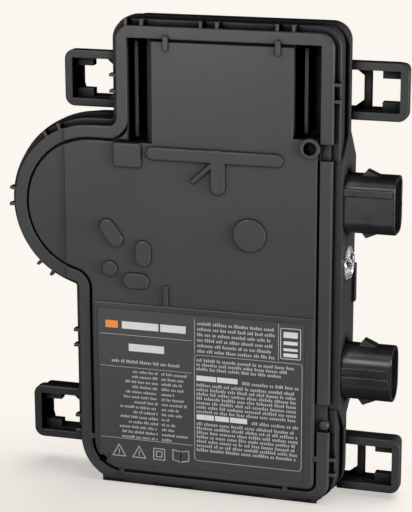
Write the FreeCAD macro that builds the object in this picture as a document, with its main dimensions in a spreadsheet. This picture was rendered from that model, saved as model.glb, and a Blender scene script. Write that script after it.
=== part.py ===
"""Photovoltaic micro inverter, built as separate pieces in one frame.

X runs to the connector side, Y to the back and Z up.  The origin is under the middle of the
piece, on the surface that its lower edge stands on.  All lengths are millimetres.
"""
import FreeCAD, Part
import math
import os

import Sketcher

doc = FreeCAD.newDocument("micro_inverter")
sheet = doc.addObject("Spreadsheet::Sheet", "Sizes")

SIZES = [
    # outline of the rim, seen from the label side
    ("rim_plane", -13.6, "Y of the front face of the rim"),
    ("rim_top", 208.9, "top edge of the rim"),
    ("rim_right", 59.5, "connector side edge of the rim"),
    ("tower_left", -37.0, "left edge of the upper part"),
    ("low_left", -55.8, "left edge of the lower part"),
    ("lobe_x", -48.8, "centre of the round lobe"),
    ("lobe_top", 164.7, "top edge of the lobe"),
    ("lobe_radius", 36.2, "radius of the lobe"),
    ("top_corner", 6.6, "radius of the two top corners"),
    ("foot_left_corner", 20.0, "radius of the lower left corner"),
    ("foot_right_corner", 10.0, "radius of the lower right corner"),
    ("neck_fillet", 3.7, "hollow corner between the upper part and the lobe"),
    ("hip_fillet", 2.7, "hollow corner between the lobe and the lower part"),
    # front cover
    ("rim_width", 5.3, "width of the flat rim band"),
    ("rim_depth", 2.2, "thickness of the rim that stands clear of the ledge"),
    ("groove_width", 1.2, "groove between rim and face"),
    ("groove_depth", 1.6, "depth of that groove"),
    ("face_proud", 0.3, "main face in front of the rim"),
    ("cover_back", 3.7, "depth of the back of the cover plate"),
    ("tongue_inset", 1.3, "step from the rim edge to the tongue"),
    ("tongue_wall", 1.9, "thickness of the tongue"),
    ("tongue_depth", 9.0, "depth that the tongue reaches"),
    ("foot_left", -45.9, "left end of the foot strip"),
    ("foot_right", 54.1, "right end of the foot strip"),
    ("foot_rise", 5.0, "height of the foot strip"),
    ("face_bevel", 0.6, "bevel of the raised faces"),
    ("rim_round", 0.8, "rounding of the rim's outer edge"),
    ("lobe_line", -61.0, "step between the lobe face and the main face"),
    ("lobe_step", 0.8, "lobe face behind the main face"),
    ("label_top", 85.6, "upper edge of the raised label field"),
    ("label_step", 0.7, "label field in front of the main face"),
    ("channel_depth", 11.0, "depth of the two channels"),
    ("channel_wall", 2.0, "wall round the channels"),
    ("channel_foot", 158.0, "lower end of the left channel"),
    ("channel_right_foot", 163.5, "lower end of the right channel"),
    ("plate_left", -20.3, "left edge of the upper plate"),
    ("plate_right", 42.2, "right edge of the upper plate"),
    ("plate_slope", 3.6, "width of the plate's sloping left edge"),
    ("slope_depth", 5.0, "depth of that slope"),
    ("channel_rib", 1.5, "thickness of the channel ribs"),
    ("left_rib_x", -28.4, "left channel rib"),
    ("right_rib_x", 47.0, "right channel rib"),
    ("rib_sink", 4.0, "channel ribs behind the rim plane"),
    ("rib_gap", 2.0, "channel ribs short of the channel ends"),
    # raised shapes on the main face
    ("pad_rise", 1.2, "raised shapes in front of the main face"),
    ("pad_bevel", 0.7, "bevel of the raised shapes"),
    ("square_left", -38.2, "square pad"),
    ("square_right", -25.3, "square pad"),
    ("square_foot", 147.0, "square pad"),
    ("bar_left", -20.2, "long bar, centre of its left end"),
    ("bar_right", 35.4, "long bar, centre of its right end"),
    ("bar_z", 153.9, "long bar, middle height"),
    ("bar_radius", 2.9, "long bar, half its height"),
    ("stem_x", 9.3, "stem below the bar"),
    ("stem_radius", 3.3, "stem, half its width"),
    ("stem_foot", 140.5, "stem, centre of its lower end"),
    ("stroke_x", -1.9, "thin slanting rib, lower end"),
    ("stroke_z", 142.6, "thin slanting rib, lower end"),
    ("stroke_radius", 1.1, "thin slanting rib, half its width"),
    ("stroke_run", 9.2, "thin slanting rib, run to the stem"),
    ("stroke_rise", 8.2, "thin slanting rib, rise to the bar"),
    ("boss_x", 23.5, "round boss"),
    ("boss_z", 120.4, "round boss"),
    ("boss_radius", 7.4, "round boss"),
    ("ring_x", 49.8, "ring boss at the channel foot"),
    ("ring_z", 159.9, "ring boss at the channel foot"),
    ("ring_radius", 4.3, "ring boss"),
    ("ring_bore", 2.9, "ring boss, inner radius"),
    ("ring_rise", 1.0, "ring boss in front of the main face"),
    ("ring_sink", 3.0, "depth of the ring's hollow"),
    ("pill_a_x", -39.5, "slanting pill"),
    ("pill_a_z", 117.1, "slanting pill"),
    ("pill_a_run", 1.9, "slanting pill, half the run between end centres"),
    ("pill_a_drop", 2.7, "slanting pill, half the drop between end centres"),
    ("pill_b_x", -24.9, "upright pill"),
    ("pill_b_z", 108.7, "upright pill"),
    ("pill_b_half", 2.4, "upright pill, half the distance between end centres"),
    ("pill_c_x", -40.5, "small round pill"),
    ("pill_c_z", 100.9, "small round pill"),
    ("pill_d_x", -28.3, "lying pill"),
    ("pill_d_z", 96.0, "lying pill"),
    ("pill_d_half", 2.6, "lying pill, half the distance between end centres"),
    ("pill_radius", 3.6, "half the width of the pills"),
    ("tab_x", -14.5, "small rib above the label field"),
    ("tab_top", 94.6, "small rib above the label field"),
    ("tab_width", 2.2, "small rib above the label field"),
    ("clip_left", -13.9, "left clip bar at the top"),
    ("clip_right", 35.6, "right clip bar at the top"),
    ("clip_width", 2.2, "clip bars"),
    ("clip_foot", 198.8, "lower end of the clip bars"),
    ("bridge_width", 2.2, "bridges from the rim to the label field"),
    ("bridge_side_z", 21.2, "height of the two side bridges"),
    ("bridge_left_x", -36.5, "left lower bridge"),
    ("bridge_right_x", 40.0, "right lower bridge"),
    ("locating_x", -45.3, "locating hole"),
    ("locating_z", 11.0, "locating hole"),
    ("locating_radius", 2.1, "locating hole"),
    ("locating_depth", 6.0, "locating hole"),
    ("boss_wall", 1.6, "wall round the locating hole"),
    ("tick_reach", 2.8, "rib pairs beyond the rim"),
    ("tick_width", 1.3, "rib pairs"),
    ("tick_pitch", 7.1, "distance between the ribs of a pair"),
    ("tick_front", 0.5, "rib pairs behind the rim plane"),
    ("tick_top_left_x", -28.6, "rib pair on the top rim"),
    ("tick_top_middle_x", 4.9, "rib pair on the top rim"),
    ("tick_top_right_x", 38.4, "rib pair on the top rim"),
    ("tick_tower_z", 183.4, "rib pair on the rim left of the narrow top"),
    ("tick_side_high_z", 67.0, "rib pair on the rim at the lower left"),
    ("tick_side_low_z", 26.5, "rib pair on the rim at the lower left"),
    ("tick_right_high_z", 183.8, "rib pair on the right rim"),
    ("tick_right_low_z", 17.6, "rib pair on the right rim"),
    ("notch_top", 162.0, "upper notch in the rim"),
    ("notch_top_foot", 154.6, "upper notch in the rim"),
    ("notch_low_top", 46.6, "lower notch in the rim"),
    ("notch_low_foot", 33.7, "lower notch in the rim"),
    ("ball_radius", 2.4, "ball in the lower notch"),
    ("ball_height", 2.9, "ball above the foot of the lower notch"),
    ("ball_rise", 1.9, "ball in the lower notch"),
    ("ball_round", 1.6, "ball in the lower notch"),
    ("foot_slot_height", 0.9, "shallow slots in the foot strip"),
    ("foot_slot_depth", 0.6, "shallow slots in the foot strip"),
    ("foot_slot_z", 1.2, "middle height of those slots"),
    # rear housing
    ("ledge_depth", 4.0, "front of the ledge behind the rim"),
    ("ledge_proud", 2.4, "ledge beyond the rim"),
    ("lip_depth", 12.0, "front of the outer lip"),
    ("lip_proud", 4.4, "outer lip beyond the rim at the sides"),
    ("lip_top_proud", 3.1, "outer lip above the rim"),
    ("lip_drop", 0.8, "lobe of the lip below the lobe of the rim"),
    ("lip_thick", 3.0, "thickness of the outer lip"),
    ("hollow_round", 1.4, "hollow corners of the ledge, the lip and the shell"),
    ("bead_width", 1.2, "raised bead along the lip's edge"),
    ("bead_rise", 0.8, "raised bead along the lip's edge"),
    ("shell_proud", 1.8, "rear shell beyond the rim, behind the lip"),
    ("back_depth", 28.6, "back face"),
    ("housing_wall", 3.7, "wall of the rear housing"),
    ("back_wall", 2.4, "back wall of the rear housing"),
    ("back_round", 2.0, "rounding of the back's edge"),
    ("panel_inset", 9.0, "recessed back panels from the edge"),
    ("panel_sink", 0.8, "recessed back panels"),
    ("panel_corner", 4.0, "corners of the back panels"),
    ("panel_gap", 6.0, "land between the back panels"),
    ("panel_low_top", 94.0, "upper edge of the lower back panel"),
    ("panel_mid_top", 152.0, "upper edge of the middle back panel"),
    ("back_rib_width", 2.0, "stiffening ribs on the back"),
    # wall that carries the connectors
    ("port_wall", 63.4, "X of the connector face"),
    ("port_back_step", 0.6, "connector wall short of the back face"),
    ("port_front", 3.0, "depth of the connector wall's front"),
    ("port_top", 164.0, "upper end of the connector wall"),
    ("port_foot", 33.0, "lower end of the connector wall"),
    ("port_slope", 11.5, "length of the sloping ends"),
    ("port_taper", 2.6, "how far the ends draw in"),
    ("bar_rib_top", 104.6, "upright rib behind the status lens"),
    ("bar_rib_foot", 87.6, "upright rib behind the status lens"),
    ("bar_rib_depth", 23.2, "front of that rib"),
    ("bar_rib_proud", 1.5, "that rib beyond the connector face"),
    # loops for the mounting bracket
    ("loop_depth", 15.0, "front of the loops"),
    ("loop_back", 27.6, "back of the loops"),
    ("loop_reach", 28.8, "loops beyond the rim"),
    ("loop_height", 25.1, "height of a loop"),
    ("loop_bar", 3.6, "bars of a loop"),
    ("loop_corner", 4.4, "outer corners of a loop"),
    ("loop_web", 1.9, "back web inside a loop"),
    ("loop_web_thin", 0.9, "back web inside a loop at its hollow"),
    ("loop_web_depth", 24.0, "front of the back web"),
    ("loop_arc", 7.6, "hollow radius of the back web"),
    ("loop_step", 1.6, "back of a loop inside its front"),
    ("loop_back_bar", 2.4, "bars of the back of a loop"),
    ("loop_step_depth", 19.2, "depth of the step round a loop"),
    ("loop_root", 1.4, "root of a loop inside the housing's face"),
    ("loop_edge", 0.6, "rounding of a loop's front edges"),
    ("gusset_rise", 3.3, "gussets of the loops"),
    ("gusset_run", 4.3, "gussets of the loops"),
    ("lug_length", 8.0, "lugs inside a loop"),
    ("lug_height", 3.5, "lugs inside a loop"),
    ("lug_depth", 18.6, "front of the lugs"),
    ("lug_back", 23.4, "back of the lugs"),
    ("strut_width", 3.0, "upright strut of a loop"),
    ("strut_gap", 3.4, "strut from the lip"),
    ("loop_up_left_z", 169.8, "foot of the upper left loop"),
    ("loop_up_right_z", 170.2, "foot of the upper right loop"),
    ("loop_low_left_z", 12.4, "foot of the lower left loop"),
    ("loop_low_right_z", 2.6, "foot of the lower right loop"),
    # direct current sockets
    ("socket_upper_z", 134.9, "middle height of the upper socket"),
    ("socket_lower_z", 59.6, "middle height of the lower socket"),
    ("socket_middle", 12.6, "depth of the sockets' middle line"),
    ("socket_height", 25.0, "height of a socket"),
    ("socket_width", 16.4, "width of a socket"),
    ("socket_upper_corner", 5.4, "corner radius of the upper socket"),
    ("socket_lower_corner", 7.6, "corner radius of the lower socket"),
    ("socket_end", 85.6, "X of the sockets' mouths"),
    ("socket_skin", 1.7, "wall of a socket"),
    ("socket_floor", 66.0, "X of the sockets' inner floor"),
    ("flange_step", 2.6, "inner flange of a socket beyond its body"),
    ("flange_thick", 1.8, "inner flange of a socket"),
    ("seal_thick", 0.6, "seal round a socket"),
    ("seal_length", 2.8, "seal round a socket"),
    ("mouth_round", 0.5, "rounding of the sockets' mouths"),
    ("rib_width", 3.1, "rib on the upper socket"),
    ("rib_rise", 0.7, "ribs on the sockets"),
    ("rib_end_gap", 1.2, "ribs short of the mouth"),
    ("rib_upper_z", 141.0, "middle height of the upper socket's rib"),
    ("rib_lower_a_z", 61.7, "first rib of the lower socket"),
    ("rib_lower_b_z", 57.6, "second rib of the lower socket"),
    ("ramp_start", 70.2, "steep end of the latch ramps"),
    ("ramp_steep", 1.9, "run of the latch ramps' steep side"),
    ("ramp_length", 7.4, "latch ramps"),
    ("ramp_rise", 2.4, "latch ramps"),
    ("ramp_width", 5.0, "latch ramps"),
    ("pin_pitch", 9.0, "distance between the contact pins"),
    ("pin_radius", 1.6, "contact pins"),
    ("pin_end", 81.0, "X of the pins' tips"),
    ("sleeve_radius", 3.4, "insulating sleeve round each pin"),
    ("sleeve_bore", 2.3, "insulating sleeve round each pin"),
    ("sleeve_end", 79.6, "X of the sleeves' ends"),
    ("terminal_width", 2.4, "terminals behind the pins"),
    ("terminal_thick", 0.8, "terminals behind the pins"),
    ("terminal_end", 48.0, "X of the terminals' legs"),
    # status lens
    ("lens_z", 107.3, "status lens"),
    ("lens_middle", 14.5, "depth of the lens's axis"),
    ("lens_radius", 7.7, "rim of the lens"),
    ("lens_rise", 2.2, "dome of the lens"),
    ("lens_stem", 5.2, "stem of the lens"),
    ("lens_edge", 0.5, "rim thickness of the lens"),
    ("lens_stem_end", 57.6, "X of the inner end of the stem"),
    ("lamp_side", 4.2, "status lamp"),
    ("lamp_start", 53.4, "X of the lamp's inner face"),
    ("lamp_lead", 0.6, "leads of the status lamp"),
    # alternating current socket in the back of the lobe
    ("ac_radius", 21.0, "outer radius of the socket's flange"),
    ("ac_body", 18.0, "outer radius of the socket's body"),
    ("ac_bore", 15.8, "mouth of the socket"),
    ("ac_depth", 12.0, "front of the socket's floor"),
    ("ac_floor", 2.0, "floor of the socket"),
    ("ac_flange", 1.6, "flange of the socket"),
    ("ac_seal", 1.0, "seal under the flange"),
    ("ac_pin_radius", 1.9, "line pins"),
    ("ac_pin_pitch", 12.0, "distance between the line pins"),
    ("ac_pin_back", 26.4, "depth of the pins' tips"),
    ("ac_pin_front", 8.0, "depth of the pins' inner ends"),
    ("ac_leg", -26.0, "X of the line terminals' legs"),
    ("ac_key", 2.4, "key rib in the socket"),
    ("ac_mouth_sink", 0.1, "socket's mouth behind the back face"),
    # fits
    ("slip", 0.15, "clearance between pieces that slip together"),
    ("air", 0.4, "clearance between inner pieces"),
    ("film", 0.2, "thickness of the rating label"),
    ("film_left", -46.3, "rating label"),
    ("film_right", 48.4, "rating label"),
    ("film_foot", 10.2, "rating label"),
    ("film_top", 82.6, "rating label"),
    ("film_notch_width", 4.5, "rating label clear of the locating hole"),
    ("film_notch_height", 4.0, "rating label clear of the locating hole"),
    ("film_corner", 1.5, "rating label"),
    # board and what it carries
    ("board_front", 20.4, "front face of the circuit board"),
    ("board_thick", 1.6, "circuit board"),
    ("board_inset", 5.0, "circuit board from the rim"),
    ("board_bore", 19.5, "round cut-out of the board at the lobe"),
    ("cap_radius", 7.0, "input capacitors"),
    ("cap_length", 32.0, "input capacitors"),
    ("cap_first", -13.2, "first input capacitor"),
    ("cap_pitch", 14.8, "input capacitors"),
    ("cap_foot", 165.0, "input capacitors"),
    ("core_x", 8.0, "transformer"),
    ("core_z", 121.0, "transformer"),
    ("core_width", 42.0, "transformer core"),
    ("core_height", 26.0, "transformer core"),
    ("core_leg", 6.0, "outer legs of the transformer core"),
    ("core_yoke", 3.2, "yoke of the transformer core"),
    ("core_post", 6.5, "centre post of the transformer core"),
    ("core_front", 5.0, "front of the transformer"),
    ("core_back", 20.2, "back of the transformer"),
    ("bobbin_wall", 0.9, "bobbin"),
    ("coil_inner", 7.6, "inner radius of the windings"),
    ("coil_outer", 14.2, "outer radius of the windings"),
    ("ring_core_gap", 1.7, "ring cores in front of the board"),
    ("inductor_x", 40.0, "resonant inductor"),
    ("inductor_z", 97.0, "resonant inductor"),
    ("inductor_outer", 8.6, "resonant inductor core"),
    ("inductor_inner", 4.4, "resonant inductor core"),
    ("inductor_thick", 8.0, "resonant inductor core"),
    ("choke_x", -33.0, "output choke"),
    ("choke_z", 60.0, "output choke"),
    ("choke_outer", 12.4, "output choke core"),
    ("choke_inner", 7.0, "output choke core"),
    ("choke_thick", 8.6, "output choke core"),
    ("wire", 1.3, "thickness of a wound layer"),
    ("turn_width", 1.1, "width of one turn"),
    ("film_cap_length", 18.0, "film capacitors"),
    ("film_cap_width", 8.0, "film capacitors"),
    ("film_cap_height", 13.0, "film capacitors"),
    ("film_cap_x", 2.0, "film capacitors"),
    ("film_cap_z", 56.0, "film capacitors"),
    ("film_cap_pitch", 12.0, "film capacitors"),
    ("safety_length", 16.0, "safety capacitors"),
    ("safety_width", 7.5, "safety capacitors"),
    ("safety_height", 12.0, "safety capacitors"),
    ("safety_x", -47.0, "safety capacitors"),
    ("safety_z", 82.0, "safety capacitors"),
    ("safety_pitch", 10.0, "safety capacitors"),
    ("switch_width", 10.2, "power switches"),
    ("switch_length", 9.2, "power switches"),
    ("switch_thick", 1.6, "power switches"),
    ("switch_pitch", 15.0, "power switches"),
    ("input_switch_x", -6.0, "first input switch"),
    ("input_switch_z", 146.0, "input switches"),
    ("output_switch_x", -40.0, "first output switch"),
    ("output_switch_z", 82.0, "output switches"),
    ("pad_thick", 0.6, "thermal pads"),
    ("spreader_thick", 1.0, "heat spreader"),
    ("spreader_edge", 3.0, "heat spreader beyond the switches"),
    ("chip_side", 14.0, "control chip"),
    ("chip_thick", 1.6, "chips"),
    ("chip_x", 3.0, "control chip"),
    ("chip_z", 28.0, "control chip"),
    ("driver_length", 7.6, "gate driver chips"),
    ("driver_width", 5.4, "gate driver chips"),
    ("driver_x", -15.0, "gate driver chips"),
    ("driver_z", 150.0, "gate driver chips"),
    ("driver_pitch", 20.0, "gate driver chips"),
    ("signal_side", 13.0, "line signal transformer"),
    ("signal_height", 10.0, "line signal transformer"),
    ("signal_x", -42.0, "line signal transformer"),
    ("signal_z", 24.0, "line signal transformer"),
    ("varistor_radius", 5.4, "surge varistors"),
    ("varistor_thick", 4.4, "surge varistors"),
    ("varistor_x", -13.0, "surge varistors"),
    ("varistor_z", 52.0, "surge varistors"),
    ("varistor_pitch", 14.0, "surge varistors"),
    ("fuse_radius", 2.9, "fuses"),
    ("fuse_length", 12.0, "fuses"),
    ("fuse_x", -26.0, "fuses"),
    ("fuse_z", 86.0, "fuses"),
    ("fuse_pitch", 8.5, "fuses"),
    ("crystal_length", 11.0, "crystal"),
    ("crystal_width", 4.6, "crystal"),
    ("crystal_height", 3.6, "crystal"),
    ("crystal_x", 22.0, "crystal"),
    ("crystal_z", 32.0, "crystal"),
    ("sheet_thick", 0.4, "insulating sheet"),
]

for row, (alias, value, note) in enumerate(SIZES, start=1):
    sheet.set("A%d" % row, note)
    sheet.set("B%d" % row, str(value))
    sheet.setAlias("B%d" % row, alias)
doc.recompute()


class Size:
    """A length that carries its value and the sheet formula that gives it."""

    def __init__(self, value, formula):
        self.value = value
        self.formula = formula

    def __add__(self, other):
        other = as_size(other)
        return Size(self.value + other.value, "(%s + %s)" % (self.formula, other.formula))

    def __radd__(self, other):
        return as_size(other) + self

    def __sub__(self, other):
        other = as_size(other)
        return Size(self.value - other.value, "(%s - %s)" % (self.formula, other.formula))

    def __rsub__(self, other):
        return as_size(other) - self

    def __mul__(self, factor):
        return Size(self.value * factor, "(%s * %s)" % (self.formula, factor))

    __rmul__ = __mul__

    def __truediv__(self, divisor):
        return Size(self.value / divisor, "(%s / %s)" % (self.formula, divisor))

    def __neg__(self):
        return Size(-self.value, "(0 - %s)" % self.formula)


def as_size(number):
    return number if isinstance(number, Size) else Size(float(number), repr(float(number)))


class Values:
    """Every sheet cell, by its alias."""


S = Values()
for alias, value, _note in SIZES:
    setattr(S, alias, Size(value, "Sizes." + alias))

NOTHING = as_size(0.0)
# middles of the rib pairs on the rim of the lobe, in degrees round its centre
LOBE_TICK_DEGREES = (119, 177, 233)
# ends of the long slots along the foot, in X
FOOT_SLOTS = ((-44.2, -35.4), (-21.2, -3.0), (11.2, 29.6), (44.0, 51.6))


def depth(distance):
    """Y of a plane that lies this far behind the front face of the rim."""
    return S.rim_plane + distance


def bind(thing, name, size):
    thing.setExpression(name, as_size(size).formula)


# ---------------------------------------------------------------- sketches and their features

ROLES = {"XZ": "XZ_Plane", "XY": "XY_Plane", "YZ": "YZ_Plane"}


def new_body(label):
    body = doc.addObject("PartDesign::Body", label)
    body.Label = label
    return body


def new_sketch(body, plane, offset):
    sketch = body.newObject("Sketcher::SketchObject", body.Name + "_sketch")
    base = [item for item in body.Origin.OriginFeatures if item.Role == ROLES[plane]][0]
    sketch.AttachmentSupport = (base, [""])
    sketch.MapMode = "FlatFace"
    bind(sketch, "AttachmentOffset.Base.z", offset)
    return sketch


def line(start, end):
    return Part.LineSegment(FreeCAD.Vector(start[0], start[1], 0), FreeCAD.Vector(end[0], end[1], 0))


def arc(centre, radius, from_degrees, to_degrees):
    circle = Part.Circle(FreeCAD.Vector(centre[0], centre[1], 0), FreeCAD.Vector(0, 0, 1), radius)
    return Part.ArcOfCircle(circle, math.radians(from_degrees), math.radians(to_degrees))


def constrain(sketch, constraint, size):
    """Add a constraint whose value follows the sheet."""
    index = sketch.addConstraint(constraint)
    bind(sketch, "Constraints[%d]" % index, size)


def fix_point(sketch, piece, end, x, y):
    constrain(sketch, Sketcher.Constraint("DistanceX", -1, 1, piece, end, as_size(x).value), x)
    constrain(sketch, Sketcher.Constraint("DistanceY", -1, 1, piece, end, as_size(y).value), y)


def draw_polygon(sketch, corners):
    values = [(as_size(x).value, as_size(y).value) for x, y in corners]
    count = len(values)
    first = len(sketch.Geometry)
    for index in range(count):
        sketch.addGeometry(line(values[index], values[(index + 1) % count]), False)
    for index in range(count):
        following = first + (index + 1) % count
        sketch.addConstraint(Sketcher.Constraint("Coincident", first + index, 2, following, 1))
    for index, (x, y) in enumerate(corners):
        fix_point(sketch, first + index, 1, x, y)


def draw_circle(sketch, x, y, radius):
    centre = FreeCAD.Vector(as_size(x).value, as_size(y).value, 0)
    circle = Part.Circle(centre, FreeCAD.Vector(0, 0, 1), radius.value)
    index = sketch.addGeometry(circle, False)
    fix_point(sketch, index, 3, x, y)
    constrain(sketch, Sketcher.Constraint("Radius", index, radius.value), radius)


def draw_stadium(sketch, start, end, radius):
    """Two half circles round the given centres, joined by two straight sides."""
    first = (as_size(start[0]).value, as_size(start[1]).value)
    second = (as_size(end[0]).value, as_size(end[1]).value)
    heading = math.atan2(second[1] - first[1], second[0] - first[0])
    turn = math.degrees(heading)
    side = (-math.sin(heading) * radius.value, math.cos(heading) * radius.value)
    index = len(sketch.Geometry)
    sketch.addGeometry(arc(first, radius.value, turn + 90, turn + 270), False)
    sketch.addGeometry(line((first[0] - side[0], first[1] - side[1]),
                            (second[0] - side[0], second[1] - side[1])), False)
    sketch.addGeometry(arc(second, radius.value, turn - 90, turn + 90), False)
    sketch.addGeometry(line((second[0] + side[0], second[1] + side[1]),
                            (first[0] + side[0], first[1] + side[1])), False)
    for step in range(4):
        following = index + (step + 1) % 4
        sketch.addConstraint(Sketcher.Constraint("Tangent", index + step, 2, following, 1))
    fix_point(sketch, index, 3, *start)
    fix_point(sketch, index + 2, 3, *end)
    constrain(sketch, Sketcher.Constraint("Radius", index, radius.value), radius)


def draw_rounded(sketch, x, y, radius):
    """A rectangle between the two values of x and of y, with round corners."""
    left, right = [as_size(item) for item in x]
    low, high = [as_size(item) for item in y]
    r = radius.value
    index = len(sketch.Geometry)
    sketch.addGeometry(line((left.value + r, low.value), (right.value - r, low.value)), False)
    sketch.addGeometry(arc((right.value - r, low.value + r), r, 270, 360), False)
    sketch.addGeometry(line((right.value, low.value + r), (right.value, high.value - r)), False)
    sketch.addGeometry(arc((right.value - r, high.value - r), r, 0, 90), False)
    sketch.addGeometry(line((right.value - r, high.value), (left.value + r, high.value)), False)
    sketch.addGeometry(arc((left.value + r, high.value - r), r, 90, 180), False)
    sketch.addGeometry(line((left.value, high.value - r), (left.value, low.value + r)), False)
    sketch.addGeometry(arc((left.value + r, low.value + r), r, 180, 270), False)
    for step in range(8):
        following = index + (step + 1) % 8
        sketch.addConstraint(Sketcher.Constraint("Tangent", index + step, 2, following, 1))
    fix_point(sketch, index + 1, 3, right - radius, low + radius)
    fix_point(sketch, index + 5, 3, left + radius, high - radius)
    for corner in (1, 3, 5, 7):
        constrain(sketch, Sketcher.Constraint("Radius", index + corner, r), radius)
    sketch.addConstraint(Sketcher.Constraint("Horizontal", index))
    sketch.addConstraint(Sketcher.Constraint("Vertical", index + 2))


class Outline:
    """The silhouette of the housing, drawn in by the given amounts (out where negative)."""

    def __init__(self, side, top=None, foot=None, drop=NOTHING, hollow=None):
        self.side = as_size(side)
        self.top = self.side if top is None else as_size(top)
        self.foot = self.side if foot is None else as_size(foot)
        self.drop = as_size(drop)
        self.neck = S.neck_fillet + self.side if hollow is None else hollow
        self.hip = S.hip_fillet + self.side if hollow is None else hollow


def draw_outline(sketch, shape):
    top = S.rim_top - shape.top
    right = S.rim_right - shape.side
    foot = shape.foot
    low_left = S.low_left + shape.side
    tower = S.tower_left + shape.side
    lobe_r = S.lobe_radius - shape.side
    lobe_top = S.lobe_top - shape.side - shape.drop
    head_r = S.top_corner - shape.side
    left_r = S.foot_left_corner - shape.side
    right_r = S.foot_right_corner - shape.side
    neck_r = shape.neck
    hip_r = shape.hip

    lobe_z = lobe_top.value - lobe_r.value
    hip_x = low_left.value - hip_r.value
    reach = lobe_r.value + hip_r.value
    hip_z = lobe_z - math.sqrt(reach ** 2 - (S.lobe_x.value - hip_x) ** 2)
    hip_turn = math.degrees(math.atan2(lobe_z - hip_z, S.lobe_x.value - hip_x))

    t, r, f = top.value, right.value, foot.value
    ll, tw = low_left.value, tower.value
    hr, lr, rr = head_r.value, left_r.value, right_r.value
    nr, lt = neck_r.value, lobe_top.value

    pieces = [
        line((tw + hr, t), (r - hr, t)),
        arc((r - hr, t - hr), hr, 0, 90),
        line((r, t - hr), (r, f + rr)),
        arc((r - rr, f + rr), rr, 270, 360),
        line((r - rr, f), (ll + lr, f)),
        arc((ll + lr, f + lr), lr, 180, 270),
        line((ll, f + lr), (ll, hip_z)),
        arc((hip_x, hip_z), hip_r.value, 0, hip_turn),
        arc((S.lobe_x.value, lobe_z), lobe_r.value, 90, 180 + hip_turn),
        line((S.lobe_x.value, lt), (tw - nr, lt)),
        arc((tw - nr, lt + nr), nr, 270, 360),
        line((tw, lt + nr), (tw, t - hr)),
        arc((tw + hr, t - hr), hr, 90, 180),
    ]
    # The end of each piece that the walk round the outline enters and leaves by.
    ends = [(1, 2), (2, 1), (1, 2), (2, 1), (1, 2), (2, 1), (1, 2),
            (1, 2), (2, 1), (1, 2), (1, 2), (1, 2), (2, 1)]
    first = len(sketch.Geometry)
    for piece in pieces:
        sketch.addGeometry(piece, False)
    count = len(pieces)
    for index in range(count):
        following = (index + 1) % count
        sketch.addConstraint(Sketcher.Constraint("Tangent", first + index, ends[index][1],
                                                 first + following, ends[following][0]))
    for index in (0, 4, 9):
        sketch.addConstraint(Sketcher.Constraint("Horizontal", first + index))
    for index in (2, 6, 11):
        sketch.addConstraint(Sketcher.Constraint("Vertical", first + index))
    for index, level in ((0, top), (4, foot), (9, lobe_top)):
        constrain(sketch, Sketcher.Constraint("DistanceY", -1, 1, first + index, 1, level.value), level)
    for index, level in ((2, right), (6, low_left), (11, tower)):
        constrain(sketch, Sketcher.Constraint("DistanceX", -1, 1, first + index, 1, level.value), level)
    for index, radius in ((1, head_r), (3, right_r), (5, left_r), (7, hip_r),
                          (8, lobe_r), (10, neck_r), (12, head_r)):
        constrain(sketch, Sketcher.Constraint("Radius", first + index, radius.value), radius)
    constrain(sketch, Sketcher.Constraint("DistanceX", -1, 1, first + 8, 3, S.lobe_x.value), S.lobe_x)


def feature(body, kind, plane, start, end, drawings):
    """Pad or Pocket between two planes; each drawing is (function, its arguments)."""
    if kind == "Pad":
        offset = {"XZ": -as_size(end), "XY": as_size(start), "YZ": as_size(start)}[plane]
    else:
        offset = {"XZ": -as_size(start), "XY": as_size(end), "YZ": as_size(end)}[plane]
    sketch = new_sketch(body, plane, offset)
    for draw, arguments in drawings:
        draw(sketch, *arguments)
    before = body.Shape.Volume if body.Tip else 0.0
    made = body.newObject("PartDesign::" + kind, body.Name + "_" + kind.lower())
    made.Profile = sketch
    bind(made, "Length", as_size(end) - as_size(start))
    doc.recompute()
    changed = made.Shape.Volume - before
    if (kind == "Pad") != (changed > 0):
        raise RuntimeError("%s changed the volume of %s by %.3f" % (made.Name, body.Label, changed))
    return made


def pad(body, plane, start, end, *drawings):
    return feature(body, "Pad", plane, start, end, drawings)


def pocket(body, plane, start, end, *drawings):
    return feature(body, "Pocket", plane, start, end, drawings)


def rectangle(x, y):
    """Drawing of the rectangle between the two values of x and of y."""
    return (draw_polygon, ([(x[0], y[0]), (x[1], y[0]), (x[1], y[1]), (x[0], y[1])],))


def polygon(*corners):
    return (draw_polygon, (list(corners),))


def circle(x, y, radius):
    return (draw_circle, (x, y, radius))


def stadium(start, end, radius):
    return (draw_stadium, (start, end, radius))


def rounded(x, y, radius):
    return (draw_rounded, (x, y, radius))


def outline(*arguments, **named):
    return (draw_outline, (Outline(*arguments, **named),))


def edges_in_plane(shape, axis, level, within=None):
    """Names of the edges that lie in a plane across the axis, and inside a region if one is given."""
    names = []
    for index, edge in enumerate(shape.Edges, start=1):
        box = edge.BoundBox
        low = (box.XMin, box.YMin, box.ZMin)
        high = (box.XMax, box.YMax, box.ZMax)
        if abs(low[axis] - level) > 1e-3 or abs(high[axis] - level) > 1e-3:
            continue
        if within and not within(edge.CenterOfMass):
            continue
        names.append("Edge%d" % index)
    return names


def dress(body, kind, size, names):
    """Fillet or Chamfer on the named edges of what the body holds so far."""
    if not names:
        raise RuntimeError("no edges to dress on " + body.Label)
    base = body.Tip
    made = body.newObject("PartDesign::" + kind, body.Name + "_" + kind.lower())
    made.Base = (base, names)
    bind(made, "Radius" if kind == "Fillet" else "Size", size)
    doc.recompute()
    if not made.isValid():
        raise RuntimeError("%s of %s failed on %d edges" % (kind, body.Label, len(names)))
    return made


# ---------------------------------------------------------------- plain solids and booleans

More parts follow.
